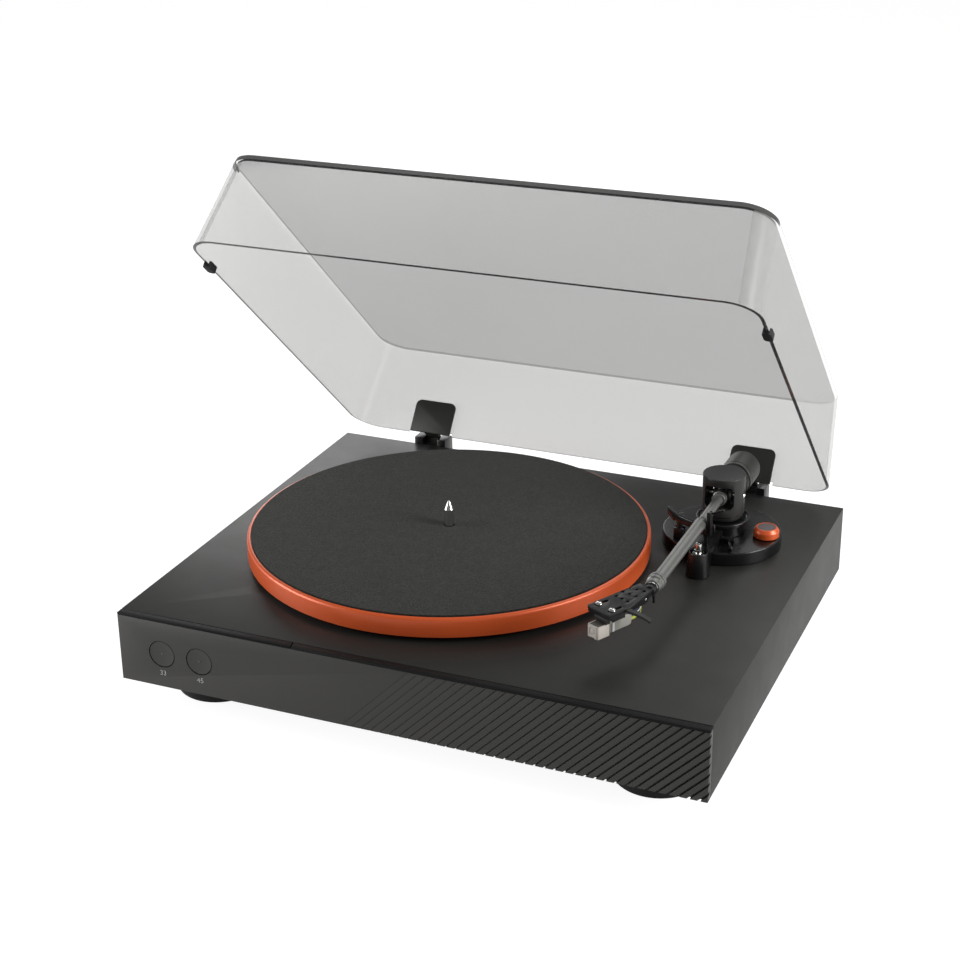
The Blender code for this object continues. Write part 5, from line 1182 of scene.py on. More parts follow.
class TURNTABLE_OT_arm_base(TurntablePiece, bpy.types.Operator):
    """Round base with the guide of the lift and the ears of its lever"""
    bl_idname = "turntable.arm_base"
    bl_label = "Arm base"

    def execute(self, context):
        sizes = settings("arm")
        radius = half_width("arm_base")
        bore = sizes.spigot + GAP
        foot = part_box("arm_base")[0].z - TOP
        profile = [(bore, sizes.base), (radius, sizes.base), (radius, GAP), (sizes.sleeve, GAP),
                   (sizes.sleeve, foot), (bore, foot), (bore, sizes.base)]
        radii = (0, sizes.base_edge, 0.0006, 0, 0.0004, 0, 0)
        base = turned("base_disc", profile, radii, FINE, deck(0, 0), 6)
        plunger = deck(*PLUNGER)
        half = Vector((sizes.guide_w / 2, sizes.guide_d / 2, 0))
        crown = sizes.base + sizes.guide_h
        guide = block("guide", beside(plunger - half, z=sizes.base - GAP), beside(plunger + half, z=crown))
        bevel(guide, 0.0012, 4, lambda spot, way: abs(way.z) > 0.9)
        notch = block("notch", beside(plunger, -OVER - half.x, -half.y / 2, crown - 0.0022),
                      beside(plunger, OVER + half.x, half.y / 2, crown + OVER))
        bore_tool = peg("bore", sizes.plunger + GAP, plunger, beside(plunger, z=crown + OVER))
        soften(carve(guide, notch, bore_tool), 0.0003)
        carve(base, peg("bore", sizes.plunger + GAP, beside(plunger, z=-OVER),
                        beside(plunger, z=sizes.base + OVER)))
        lever = Vector(JOINTS["cue_turn"]["pos_m"])
        ears = []
        for sign in (-1, 1):
            near, far = sign * 0.0037, sign * 0.0052
            ear = block("ear", (lever.x + min(near, far), lever.y - 0.0022, TOP + sizes.base - GAP),
                        (lever.x + max(near, far), lever.y + 0.0022, lever.z + 0.0022))
            bevel(ear, 0.0019, 6, lambda spot, way: abs(way.x) > 0.9 and spot.z > lever.z)
            carve(ear, peg("bore", 0.0013, beside(lever, -0.01), beside(lever, 0.01)))
            ears.append(soften(ear, 0.0002))
        dress(gather("base_disc", base, guide, *ears), "polished_abs", "plinth", "arm_base")
        return {"FINISHED"}


class TURNTABLE_OT_column(TurntablePiece, bpy.types.Operator):
    """Pillar ring, windowed column and its two pivot screws"""
    bl_idname = "turntable.column"
    bl_label = "Column"

    def execute(self, context):
        sizes = settings("arm")
        low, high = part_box("arm_pillar")
        top, foot = high.z - TOP, low.z - TOP
        bore = sizes.spigot + GAP
        lip = top - sizes.lip_thick
        profile = [(bore, top - 0.0009), (sizes.lip - 0.0026, top - 0.0009), (sizes.lip - 0.0016, top),
                   (sizes.lip, top), (sizes.lip, lip), (sizes.pillar, lip - 0.0009), (sizes.pillar, foot),
                   (bore, foot), (bore, top - 0.0009)]
        radii = (0, 0.0003, 0.0004, 0.0007, 0.0005, 0.0004, 0.0004, 0, 0)
        ring = turned("pillar_ring", profile, radii, FINE, deck(0, 0))
        dress(ring, "polished_abs", "plinth", "arm_pillar")
        low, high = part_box("pivot_column")
        top, foot = high.z - TOP, top + 0.0003
        chest = foot + sizes.foot_high
        end = low.z - TOP
        profile = [(0, top), (sizes.column, top), (sizes.column, chest), (sizes.foot, chest - 0.0006),
                   (sizes.foot, foot + 0.0016), (sizes.foot - 0.0012, foot + 0.001),
                   (sizes.foot - 0.0012, foot), (sizes.spigot, foot), (sizes.spigot, end), (0, end)]
        radii = (0, 0.0005, 0.0006, 0.0003, 0.0003, 0, 0, 0, 0.0006, 0)
        column = turned("column", profile, radii, FINE, deck(0, 0))
        w, h, r = sizes.window_w, sizes.window_h, sizes.window_corner
        outline = rounded(rectangle(w / 2, h / 2), [r] * 4, 8)
        reach = sizes.column + OVER
        window = settle(plate("window", outline, 2 * reach),
                        standing(beside(PIVOT, 0, reach, sizes.window_rise)))
        bore = peg("bore", sizes.screw + GAP, beside(PIVOT, -reach), beside(PIVOT, reach))
        carve(column, window, bore)
        dress(soften(column, 0.00035, 2, 40), "column_coat", "arm_yoke", "pivot_column")
        for side, sign in SIDES:
            low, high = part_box("pivot_screw_" + side)
            inner, outer = sorted((abs(low.x - PIVOT.x), abs(high.x - PIVOT.x)))
            r = sizes.screw
            head = [(0, outer), (r * 0.45, outer - 0.00005), (r * 0.8, outer - 0.0003), (r, outer - 0.0008),
                    (r, inner), (0, inner)]
            screw = turned("tilt_screw_" + side, head, steps=SMALL)
            carve(screw, block("slot", (-0.0003, -r, outer - 0.0005), (0.0003, r, outer + OVER)))
            settle(screw, Matrix.Translation(PIVOT) @ about("Y", sign * math.pi / 2) @ about("Z", 0.6))
            dress(screw, "chrome_plate", "arm_yoke", "pivot_screw_" + side)
        return {"FINISHED"}


class TURNTABLE_OT_tube(TurntablePiece, bpy.types.Operator):
    """Arm tube with its bearing barrel, locking ring, force dial and counterweight"""
    bl_idname = "turntable.tube"
    bl_label = "Arm tube"

    def execute(self, context):
        sizes = settings("arm")
        turn = down_arm()
        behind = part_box("arm_tube")[1].y - PIVOT.y
        start = sizes.shoulder
        profile = [(0, behind), (sizes.stub, behind), (sizes.stub, 0.011), (sizes.block, 0.011),
                   (sizes.block, -0.0105), (sizes.block - 0.0012, -0.011), (sizes.block - 0.0012, -0.012),
                   (sizes.block - 0.0004, -0.0124), (sizes.block - 0.0004, -0.014), (sizes.thin, -0.0142),
                   (sizes.thin, -start), (sizes.tube, -start - 0.004), (sizes.tube, -sizes.tube_end),
                   (sizes.thin, -sizes.tube_end), (sizes.thin, -sizes.neck_end), (0, -sizes.neck_end)]
        radii = (0, 0.0005, 0, 0.0005, 0.0005, 0, 0, 0.0003, 0.0004, 0, 0.002, 0.002, 0.0004, 0, 0.0004, 0)
        tube = turned("tube", profile, radii)
        cross = peg("cross", sizes.block * 0.9, (-0.007, 0, 0), (0.007, 0, 0), ROUND)
        soften(cross, 0.0005)
        dress(settle(gather("tube", tube, cross), turn), "anodised_tube", "arm", "arm_tube")

        bore = sizes.thin + GAP
        y = -sizes.tube_end - GAP
        end = -sizes.neck_end
        profile = [(bore, y), (sizes.ring, y), (sizes.ring, y - 0.003), (sizes.ring - 0.0007, y - 0.0033),
                   (sizes.ring - 0.0007, y - 0.0037), (sizes.ring - 0.0002, y - 0.004),
                   (sizes.ring - 0.0002, y - 0.0068), (sizes.collar, y - 0.0074), (sizes.collar, end),
                   (bore, end), (bore, y)]
        radii = (0, 0.0008, 0.0003, 0, 0, 0.0003, 0.0004, 0.0003, 0.0005, 0, 0)
        ring = turned("lock_ring", profile, radii)
        dress(settle(ring, turn), "anodised_tube", "head_ring", "locking_ring")

        front, back = along_arm("force_dial")
        bore = sizes.stub + GAP
        r = sizes.dial
        profile = [(bore, back), (r - 0.0006, back), (r - 0.0006, back - 0.0008), (r, back - 0.0012),
                   (r, front + 0.0016), (r - 0.0014, front), (bore, front), (bore, back)]
        dial = turned("dial", profile, (0, 0.0002, 0, 0.0003, 0.0004, 0.0004, 0, 0), FINE)
        grooves = []
        for i in range(60):
            turned_to = about("Z", math.tau * i / 60)
            deep = 0.00045 if i % 6 else 0.0008
            tool = block("groove", (r - deep / 2, -0.00016, front + 0.002),
                         (r + 0.001, 0.00016, back - 0.002))
            grooves.append(settle(tool, turned_to))
        carve(dial, gather("grooves", *grooves))
        dress(settle(dial, turn), "satin_black", "dial", "force_dial")

        front, back = along_arm("counterweight")
        r = sizes.weight
        cap = back - 0.0012
        profile = [(0, back - 0.0006), (r - 0.003, back - 0.0006), (r - 0.0024, back), (r, back),
                   (r, front + 0.005), (r - 0.0003, front + 0.0048), (r - 0.0003, front + 0.0042),
                   (r, front + 0.004), (r, front), (bore, front), (bore, cap), (0, cap)]
        radii = (0, 0, 0.0003, 0.001, 0, 0, 0, 0, 0.0006, 0, 0, 0)
        weight = turned("weight", profile, radii, FINE)
        dress(settle(weight, turn), "weight_coat", "weight", "counterweight")
        return {"FINISHED"}


class TURNTABLE_OT_headshell(TurntablePiece, bpy.types.Operator):
    """Pierced headshell with its side flange, finger lift and screws"""
    bl_idname = "turntable.headshell"
    bl_label = "Headshell"

    def execute(self, context):
        sizes = settings("head")
        arm, head = arm_frame(), head_frame()
        half = sizes.front_w / 2
        to_arm = arm.inverted() @ head
        corner_left = to_arm @ Vector((-half, 0, 0))
        corner_right = to_arm @ Vector((half, 0, 0))
        rear_left, rear_right = sizes.rear_x - sizes.rear_w / 2, sizes.rear_x + sizes.rear_w / 2
        outline = [corner_left.xy, corner_right.xy, (sizes.step_x, -sizes.step), (rear_right, -sizes.rear),
                   (rear_left, -sizes.rear), (sizes.shoulder_x, -sizes.shoulder)]
        radii = (0.0008, 0.0008, 0.0006, 0.0003, 0.002, 0.006)
        shell = plate("headshell_plate", rounded(outline, radii, 6), sizes.sheet)
        settle(shell, Matrix.Translation((0, 0, sizes.top - sizes.sheet)))
        lip = block("lip", (0.0005 - half, GAP, sizes.top - sizes.lip),
                    (half - 0.0005, sizes.sheet, sizes.top - GAP))
        carve(shell, settle(lip, to_arm), operation="UNION")

        edge = Vector((sizes.step_x - rear_right, sizes.rear - sizes.step, 0))
        frame_of = (Matrix.Translation((rear_right, -sizes.rear, sizes.top))
                    @ about("Z", math.atan2(edge.y, edge.x))
                    @ Matrix.Translation((0, -0.0003, 0)) @ about("X", math.pi / 2))
        r = sizes.arch
        middle = Vector((r + sizes.side, sizes.arch_rise - sizes.side_h))
        arch = [middle + Vector((-math.cos(a), math.sin(a))) * r for a in
                [math.radians(150) * k / 14 for k in range(15)]]
        side = [(0.0003, -0.0003), (0.0003, -sizes.side_h), (sizes.side, -sizes.side_h)] + arch
        side += [(edge.length, -sizes.side_tip), (edge.length, -0.0003)]
        carve(shell, settle(plate("side", side, sizes.side), frame_of), operation="UNION")

        under = Vector((0, 0, sizes.top - sizes.sheet - GAP))
        over = Vector((0, 0, sizes.top + OVER))
        tools = []
        for down, aside, turn in ((0.21, 0.26, 0.2), (0.375, 0.39, 0.6), (0.55, 0.52, 1.0)):
            x = sizes.rear_x + aside * (sizes.front_x - sizes.rear_x)
            y = -sizes.rear - down * (sizes.front - sizes.rear)
            for place in (-1, 0, 1):
                spot = Vector((x + place * sizes.hole_step * math.cos(turn * sizes.turn),
                               y - place * sizes.hole_step * math.sin(turn * sizes.turn), 0))
                tools.append(peg("hole", sizes.hole, spot + under, spot + over))
        w, l = sizes.slot_w / 2, sizes.slot_l / 2
        for sign in (-1, 1):
            slot = rounded(rectangle(w, l), [w * 0.98] * 4, 8)
            place = (sign * sizes.screw_step / 2, sizes.screw_shift + sizes.slot_shift, under.z)
            tools.append(settle(plate("slot", slot, over.z - under.z), to_arm @ Matrix.Translation(place)))
        carve(shell, *tools)
        soften(shell, 0.0003, 2, 35)
        rear = -sizes.rear
        profile = [(0, rear - 0.0045), (0.0036, rear - 0.0045), (0.0036, rear + 0.0012), (0, rear + 0.0012)]
        plug = turned("plug", profile, (0, 0.0004, 0.0004, 0), SMALL)
        settle(plug, about("X", -math.pi / 2))
        shell = settle(gather("headshell_plate", shell, plug), arm)
        dress(shell, "black_anodised", "arm", "headshell")

        profile = [(0.0032, rear - 0.0002), (0.0046, rear - 0.0002), (0.0046, rear + 0.0011),
                   (0.0032, rear + 0.0011), (0.0032, rear - 0.0002)]
        collar = turned("plug_ring", profile, steps=SMALL)
        dress(settle(collar, down_arm()), "chrome_plate", "arm")
        profile = [(0, 0.0006), (0.0011, 0.0006), (0.0011, 0), (0, 0)]
        pin = turned("flange_screw", profile, (0, 0.0003, 0, 0), SMALL)
        carve(pin, block("slot", (-0.0002, -0.002, 0.0003), (0.0002, 0.002, 0.002)))
        place = (arm @ frame_of @ Matrix.Translation((2 * r + 2.6 * sizes.side, -0.0042, 0.0001))
                 @ about("X", math.pi))
        dress(settle(pin, place), "chrome_plate", "arm")

        low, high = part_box("finger_lift")
        x0, y0 = low.x, (low.y + high.y) / 2
        steps = 14
        reach, drop = high.x - low.x, high.z - low.z
        upper, lower = [], []
        for i in range(steps + 1):
            share = i / steps
            z = high.z - 0.0002 - (drop - 0.002) * share ** 1.8
            thick = 0.002 - 0.0005 * share
            upper.append((x0 + share * reach, z))
            lower.append((x0 + share * reach - 0.0003 * share, z - thick))
        blade = settle(plate("finger_blade", upper[::-1] + lower, 0.0044), standing((0, y0 + 0.0022, 0)))
        bevel(blade, 0.0014, 5, lambda spot, way: spot.x > high.x - 0.0004 and abs(way.z) > 0.5)
        dress(soften(blade, 0.0004, 3, 50), "satin_black", "arm", "finger_lift")

        for side, sign in SIDES:
            top = sizes.top + GAP
            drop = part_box("cartridge_screw_" + side)[0].z - PIVOT.z
            profile = [(0, top + 0.0011), (0.0009, top + 0.00105), (0.0017, top + 0.0008),
                       (0.0022, top + 0.0005), (0.0025, top + 0.0001), (0.0025, top), (0.001, top),
                       (0.001, drop), (0, drop)]
            screw = turned("mount_screw_" + side, profile, steps=SMALL)
            cross_cut(screw, 0.00022, 0.0012, top + 0.0006)
            place = head @ Matrix.Translation((sign * sizes.screw_step / 2, sizes.screw_shift, 0))
            dress(settle(screw, place), "chrome_plate", "arm", "cartridge_screw_" + side)
        return {"FINISHED"}


class TURNTABLE_OT_cartridge(TurntablePiece, bpy.types.Operator):
    """Cartridge with its mounting flange, grey shell, stylus holder and leads"""
    bl_idname = "turntable.cartridge"
    bl_label = "Cartridge"

    def execute(self, context):
        sizes = settings("head")
        head = head_frame()
        top = sizes.top - sizes.sheet - GAP
        low = top - sizes.body_h
        y0 = sizes.sheet + GAP
        layers = (("cartridge_flange", sizes.body_w / 2, top - sizes.flange, top, ["cartridge_body"]),
                  ("cartridge_mount", sizes.waist / 2, low, top - sizes.flange - SKIN, []))
        for name, half, base, roof, nodes in layers:
            layer = block(name, (-half, y0, base), (half, y0 + sizes.body_l, roof))
            for sign in (-1, 1):
                x = sign * sizes.screw_step / 2
                carve(layer, peg("bore", 0.0013, (x, sizes.screw_shift, low - OVER),
                                 (x, sizes.screw_shift, top + OVER)))
            dress(settle(soften(layer, 0.0004), head), "satin_black", "arm", *nodes)

        rear_half = sizes.back_w / 2
        rear = y0 + sizes.body_l + sizes.back_l
        base = low + sizes.back_h - sizes.shell_h
        shell = block("cartridge_shell", (-rear_half, sizes.stylus_l - sizes.stylus_proud + 0.0003, base),
                      (rear_half, rear, low + sizes.back_h))
        bevel(shell, 0.0022, 2,
              lambda spot, way: abs(way.x) > 0.9 and spot.y > rear - 0.001 and spot.z < base + 0.001)
        dress(settle(soften(shell, 0.00045, 3), head), "light_abs", "arm")

        clip = block("shell_clip", (rear_half - 0.0002, y0 + 0.0052, base + 0.0006),
                     (rear_half + 0.0009, y0 + 0.0072, low - 0.0002))
        dress(settle(soften(clip, 0.0003), head), "white_abs", "arm")

        pins, z_mid = [], low + sizes.back_h - sizes.shell_h / 2
        leads = (("red", -1, 1), ("green", 1, -1), ("blue", -1, -1), ("white", 1, 1))
        for colour, sx, sz in leads:
            x, z = sx * rear_half / 2, z_mid + sz * sizes.shell_h / 5
            pins.append(peg("pin", 0.0004, (x, rear - 0.001, z), (x, rear + 0.0034, z), 12))
            profile = [(0, 0.0052), (0.0007, 0.0052), (0.0011, 0.004), (0.0011, 0), (0, 0)]
            sleeve = turned("lead_sleeve_" + colour, profile, (0, 0.0002, 0.0004, 0.0002, 0), 20)
            settle(sleeve, head @ upright((0, 1, 0), (x, rear + 0.0008, z)))
            dress(sleeve, "lead_" + colour, "arm")
            line = [(x, rear + 0.0055, z), (x * 0.95, rear + 0.0085, z - 0.0004),
                    (x * 0.7 - 0.001, rear + 0.0125, z + 0.0004),
                    (-0.0035 + 0.0008 * sx, rear + 0.0165, -0.0042 + 0.001 * sz),
                    (-0.0045 + 0.001 * sx, rear + 0.0225, -0.003 + 0.0008 * sz)]
            wire = settle(pipe("lead_wire_" + colour, line, 0.00035, sides=2), head)
            dress(wire, "lead_" + colour, "arm")
        dress(settle(gather("cartridge_pins", *pins), head), "turned_brass", "arm")

        half = sizes.stylus_w / 2
        front, back = -sizes.stylus_proud, -sizes.stylus_proud + sizes.stylus_l
        high = low - GAP
        foot = high - sizes.stylus_h
        holder = block("stylus_holder", (-half, front, foot), (half, back, high))
        bevel(holder, 0.0016, 4, lambda spot, way: abs(way.z) > 0.9 and spot.y < front + 0.001)
        bevel(holder, 0.0012, 3, lambda spot, way: abs(way.z) < 0.1 and spot.y < back - 0.001
              and spot.z < foot + SKIN)
        mark = (-0.0002, front, foot + 0.0052)
        tools = [block("tray", (-half + 0.0011, front + 0.0014, high - 0.0007),
                       (half - 0.0011, back + OVER, high + OVER)),
                 block("arch", (-half + 0.002, front + 0.003, foot - OVER),
                       (half - 0.002, back - 0.0012, foot + 0.003)),
                 peg("ring", 0.0027, beside(mark, y=-OVER), beside(mark, y=0.00035), 40),
                 block("nick", (-0.0018, front - OVER, foot - OVER), (0.0018, front + 0.0024, foot + 0.0011))]
        carve(holder, *tools)
        carve(holder, peg("hub", 0.0021, beside(mark, y=0.0002), beside(mark, y=0.0008), 40),
              operation="UNION")
        dress(settle(soften(holder, 0.00025, 2, 40), head), "warm_abs", "arm", "stylus_unit")
        # A darker sheet on the holder's top: painted shade from the headshell over it.
        tray = block("stylus_tray", (-half + 0.0012, front + 0.0015, high - 0.0008),
                     (half - 0.0012, back - 0.0001, high - 0.0003))
        dress(settle(soften(tray, 0.0001), head), "brown_abs", "arm")
        lever = pipe("cantilever", [(0, back - 0.003, foot + 0.003), (0, front + 0.0044, foot + 0.0012),
                                    (0, front + 0.0024, foot - 0.0004)], 0.00028, 0.7)
        tip = turned("tip", [(0, 0.0009), (0.00022, 0.0009), (0.00018, 0.0002), (0, 0)], steps=16,
                     place=(0, front + 0.0024, foot - 0.0012))
        dress(settle(gather("cantilever", lever, tip), head), "chrome_plate", "arm")
        return {"FINISHED"}


class TURNTABLE_OT_lift(TurntablePiece, bpy.types.Operator):
    """Lift boss and beam, arm rest with its clip, curved lift rail and lever"""
    bl_idname = "turntable.lift"
    bl_label = "Lift and rest"

    def execute(self, context):
        sizes = settings("arm")
        low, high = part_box("lift_bracket")
        boss_y = low.y + sizes.boss - PIVOT.y
        pin_top = high.z - TOP
        top, rim = sizes.boss_high, sizes.boss_top
        profile = [(0, top - 0.0016), (rim - 0.0012, top - 0.0016), (rim - 0.001, top), (rim, top),
                   (sizes.boss, GAP), (0, GAP)]
        boss = turned("lift_boss", profile, (0, 0, 0.0003, 0.0005, 0.0006, 0), FINE, deck(0, boss_y))
        left = 0.007
        beam_back = -math.sqrt(sizes.lip ** 2 - left ** 2) - 0.0005  # just clear of the pillar's lip
        beam = block("beam", deck(-left, boss_y, sizes.base + GAP), deck(0.0056, beam_back, top))
        web = block("web", deck(-0.0065, boss_y, GAP), deck(0.0051, -0.0449, top - 0.0005))
        carve(beam, web, operation="UNION")
        carve(beam, peg("clear", rim - 0.0011, deck(0, boss_y, top - 0.0016), deck(0, boss_y, top + OVER),
                        ROUND))
        soften(beam, 0.0005, 3)
        dress(gather("lift_boss", boss, beam), "polished_abs", "plinth", "lift_bracket")
        profile = [(0, pin_top), (0.001, pin_top), (0.0022, pin_top - 0.0009), (0.0024, pin_top - 0.0016),
                   (0.0024, top + 0.0022), (0.0031, top + 0.0018), (0.0031, top + 0.0006),
                   (0.0024, top + 0.0002), (0.0024, top - 0.0006), (0.0044, top - 0.0008),
                   (0.0048, top - 0.0012), (0.0048, top - 0.0015), (0, top - 0.0015)]
        pin = turned("lift_pin", profile, place=deck(0, boss_y))
        dress(pin, "chrome_plate", "plinth")

        low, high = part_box("rest_post")
        under = PIVOT.z - sizes.tube - 0.0004
        post = block("rest", (high.x - 0.003, low.y, under - 0.003), (high.x, high.y, high.z))
        ledge = block("ledge", (low.x, low.y + GAP, under - 0.0027), (high.x - 0.0015, high.y - GAP, under))
        stem = block("stem", (PIVOT.x + 0.0029, low.y + 0.0005, TOP + top + GAP),
                     (PIVOT.x + 0.0056, high.y - 0.0005, under - 0.0015))
        carve(post, ledge, stem, operation="UNION")
        clip_low, clip_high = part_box("rest_clip")
        barrel_z = JOINTS["clip_turn"]["pos_m"][2]
        carve(post, block("seat", (high.x - 0.004, clip_low.y - GAP, barrel_z - 0.0022),
                          (high.x + OVER, high.y + OVER, high.z + OVER)))
        dress(soften(post, 0.0004, 3), "polished_abs", "plinth", "rest_post")

        x = JOINTS["clip_turn"]["pos_m"][0]
        y = (clip_low.y + clip_high.y) / 2
        barrel = peg("rest_lock", 0.0017, (x, clip_low.y, barrel_z), (x, clip_high.y, barrel_z), ROUND)
        soften(barrel, 0.0003)
        reach = clip_high.x - x - 0.0008
        rise = clip_high.z - barrel_z - 0.0009
        line = [(x + across * reach, y, barrel_z + up * rise)
                for across, up in ((0, 0), (0.3, 0.3), (0.7, 0.72), (1, 1))]
        rod = pipe("rod", line, 0.0008, 0.9)
        dress(gather("rest_lock", barrel, rod), "polished_abs", "clip", "rest_clip")
        tip = peg("rest_lock_pin", 0.0009, (x, clip_low.y - 0.0003, barrel_z),
                  (x, clip_high.y + 0.0003, barrel_z))
        dress(soften(tip, 0.0002), "chrome_plate", "clip")

        low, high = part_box("lift_arc")
        shift = 0.005
        centre = Vector((PIVOT.x + shift, PIVOT.y, 0))
        outer, inner, thick = 0.0483, 0.0453, 0.006
        top = high.z
        steps = 40
        angles = [math.radians(-87 - 59 * k / steps) for k in range(steps + 1)]
        rail_outline = [centre.xy + Vector((math.cos(a), math.sin(a))) * outer for a in angles]
        rail_outline += [centre.xy + Vector((math.cos(a), math.sin(a))) * inner for a in reversed(angles)]
        rail = settle(plate("lift_rail", rail_outline, thick), Matrix.Translation((0, 0, top - thick)))
        soften(rail, 0.0007, 3, 40)
        plunger = deck(*PLUNGER)
        aside = Vector((PLUNGER[0] - shift, PLUNGER[1]))
        toward = math.atan2(aside.y, aside.x)
        near = aside.length - sizes.plunger
        tab = block("tab", (near, -sizes.plunger, top - thick - sizes.plunger),
                    (0.0468, sizes.plunger, top - thick / 2))
        settle(soften(tab, 0.0004), Matrix.Translation(centre) @ about("Z", toward))
        rod = peg("rod", sizes.plunger, (plunger.x, plunger.y, low.z),
                  (plunger.x, plunger.y, top - thick - SKIN))
        dress(gather("lift_rail", rail, tab, soften(rod, 0.0003)), "polished_abs", "lift", "lift_arc")

        place = Vector(JOINTS["cue_turn"]["pos_m"])
        barrel = peg("lever", 0.0024, beside(place, -0.0034), beside(place, 0.0034), ROUND)
        soften(barrel, 0.0004)
        line = [place, beside(place, 0.002, -0.0053, 0.0011), beside(place, 0.0046, -0.0105, 0.0011),
                beside(place, 0.0065, -0.015)]
        rod = pipe("rod", line, 0.0011, 0.8)
        pad = peg("pad", 0.0018, beside(place, 0.0065, -0.0168), beside(place, 0.0065, -0.0132))
        soften(pad, 0.0005, 3)
        dress(gather("lever", barrel, rod, pad), "polished_abs", "lever", "cue_lever")
        pin = peg("lever_pin", 0.001, beside(place, -0.0052), beside(place, 0.0052))
        dress(soften(pin, 0.0002), "chrome_plate", "lever")
        return {"FINISHED"}


class TURNTABLE_OT_side_knob(TurntablePiece, bpy.types.Operator):
    """Small orange knob with a dark flat top"""
    bl_idname = "turntable.side_knob"
    bl_label = "Side knob"

    def execute(self, context):
        sizes = settings("arm")
        low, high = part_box("anti_skate_knob")
        radius, tall = half_width("anti_skate_knob"), high.z - low.z
        flat = sizes.knob_top
        place = foot_of("anti_skate_knob")
        profile = [(0, tall - 0.0003), (flat - 0.0009, tall - 0.0003), (flat - 0.0009, tall), (flat, tall),
                   (radius, tall - 0.0026), (radius, 0.0006), (radius - 0.0008, 0), (0, 0)]
        radii = (0, 0, 0, 0.0005, 0.0012, 0.0004, 0, 0)
        knob = turned("small_knob", profile, radii, FINE, place)
        dress(knob, "orange_coat", "skate_knob", "anti_skate_knob")
        disc, seat = flat - 0.0011, tall - GAP
        profile = [(0, tall - SKIN), (disc, tall - SKIN), (disc, seat), (0, seat)]
        cap = turned("small_knob_cap", profile, (0, SKIN, 0, 0), place=place)
        dress(cap, "grey_inlay", "skate_knob")
        return {"FINISHED"}


# Rear panel

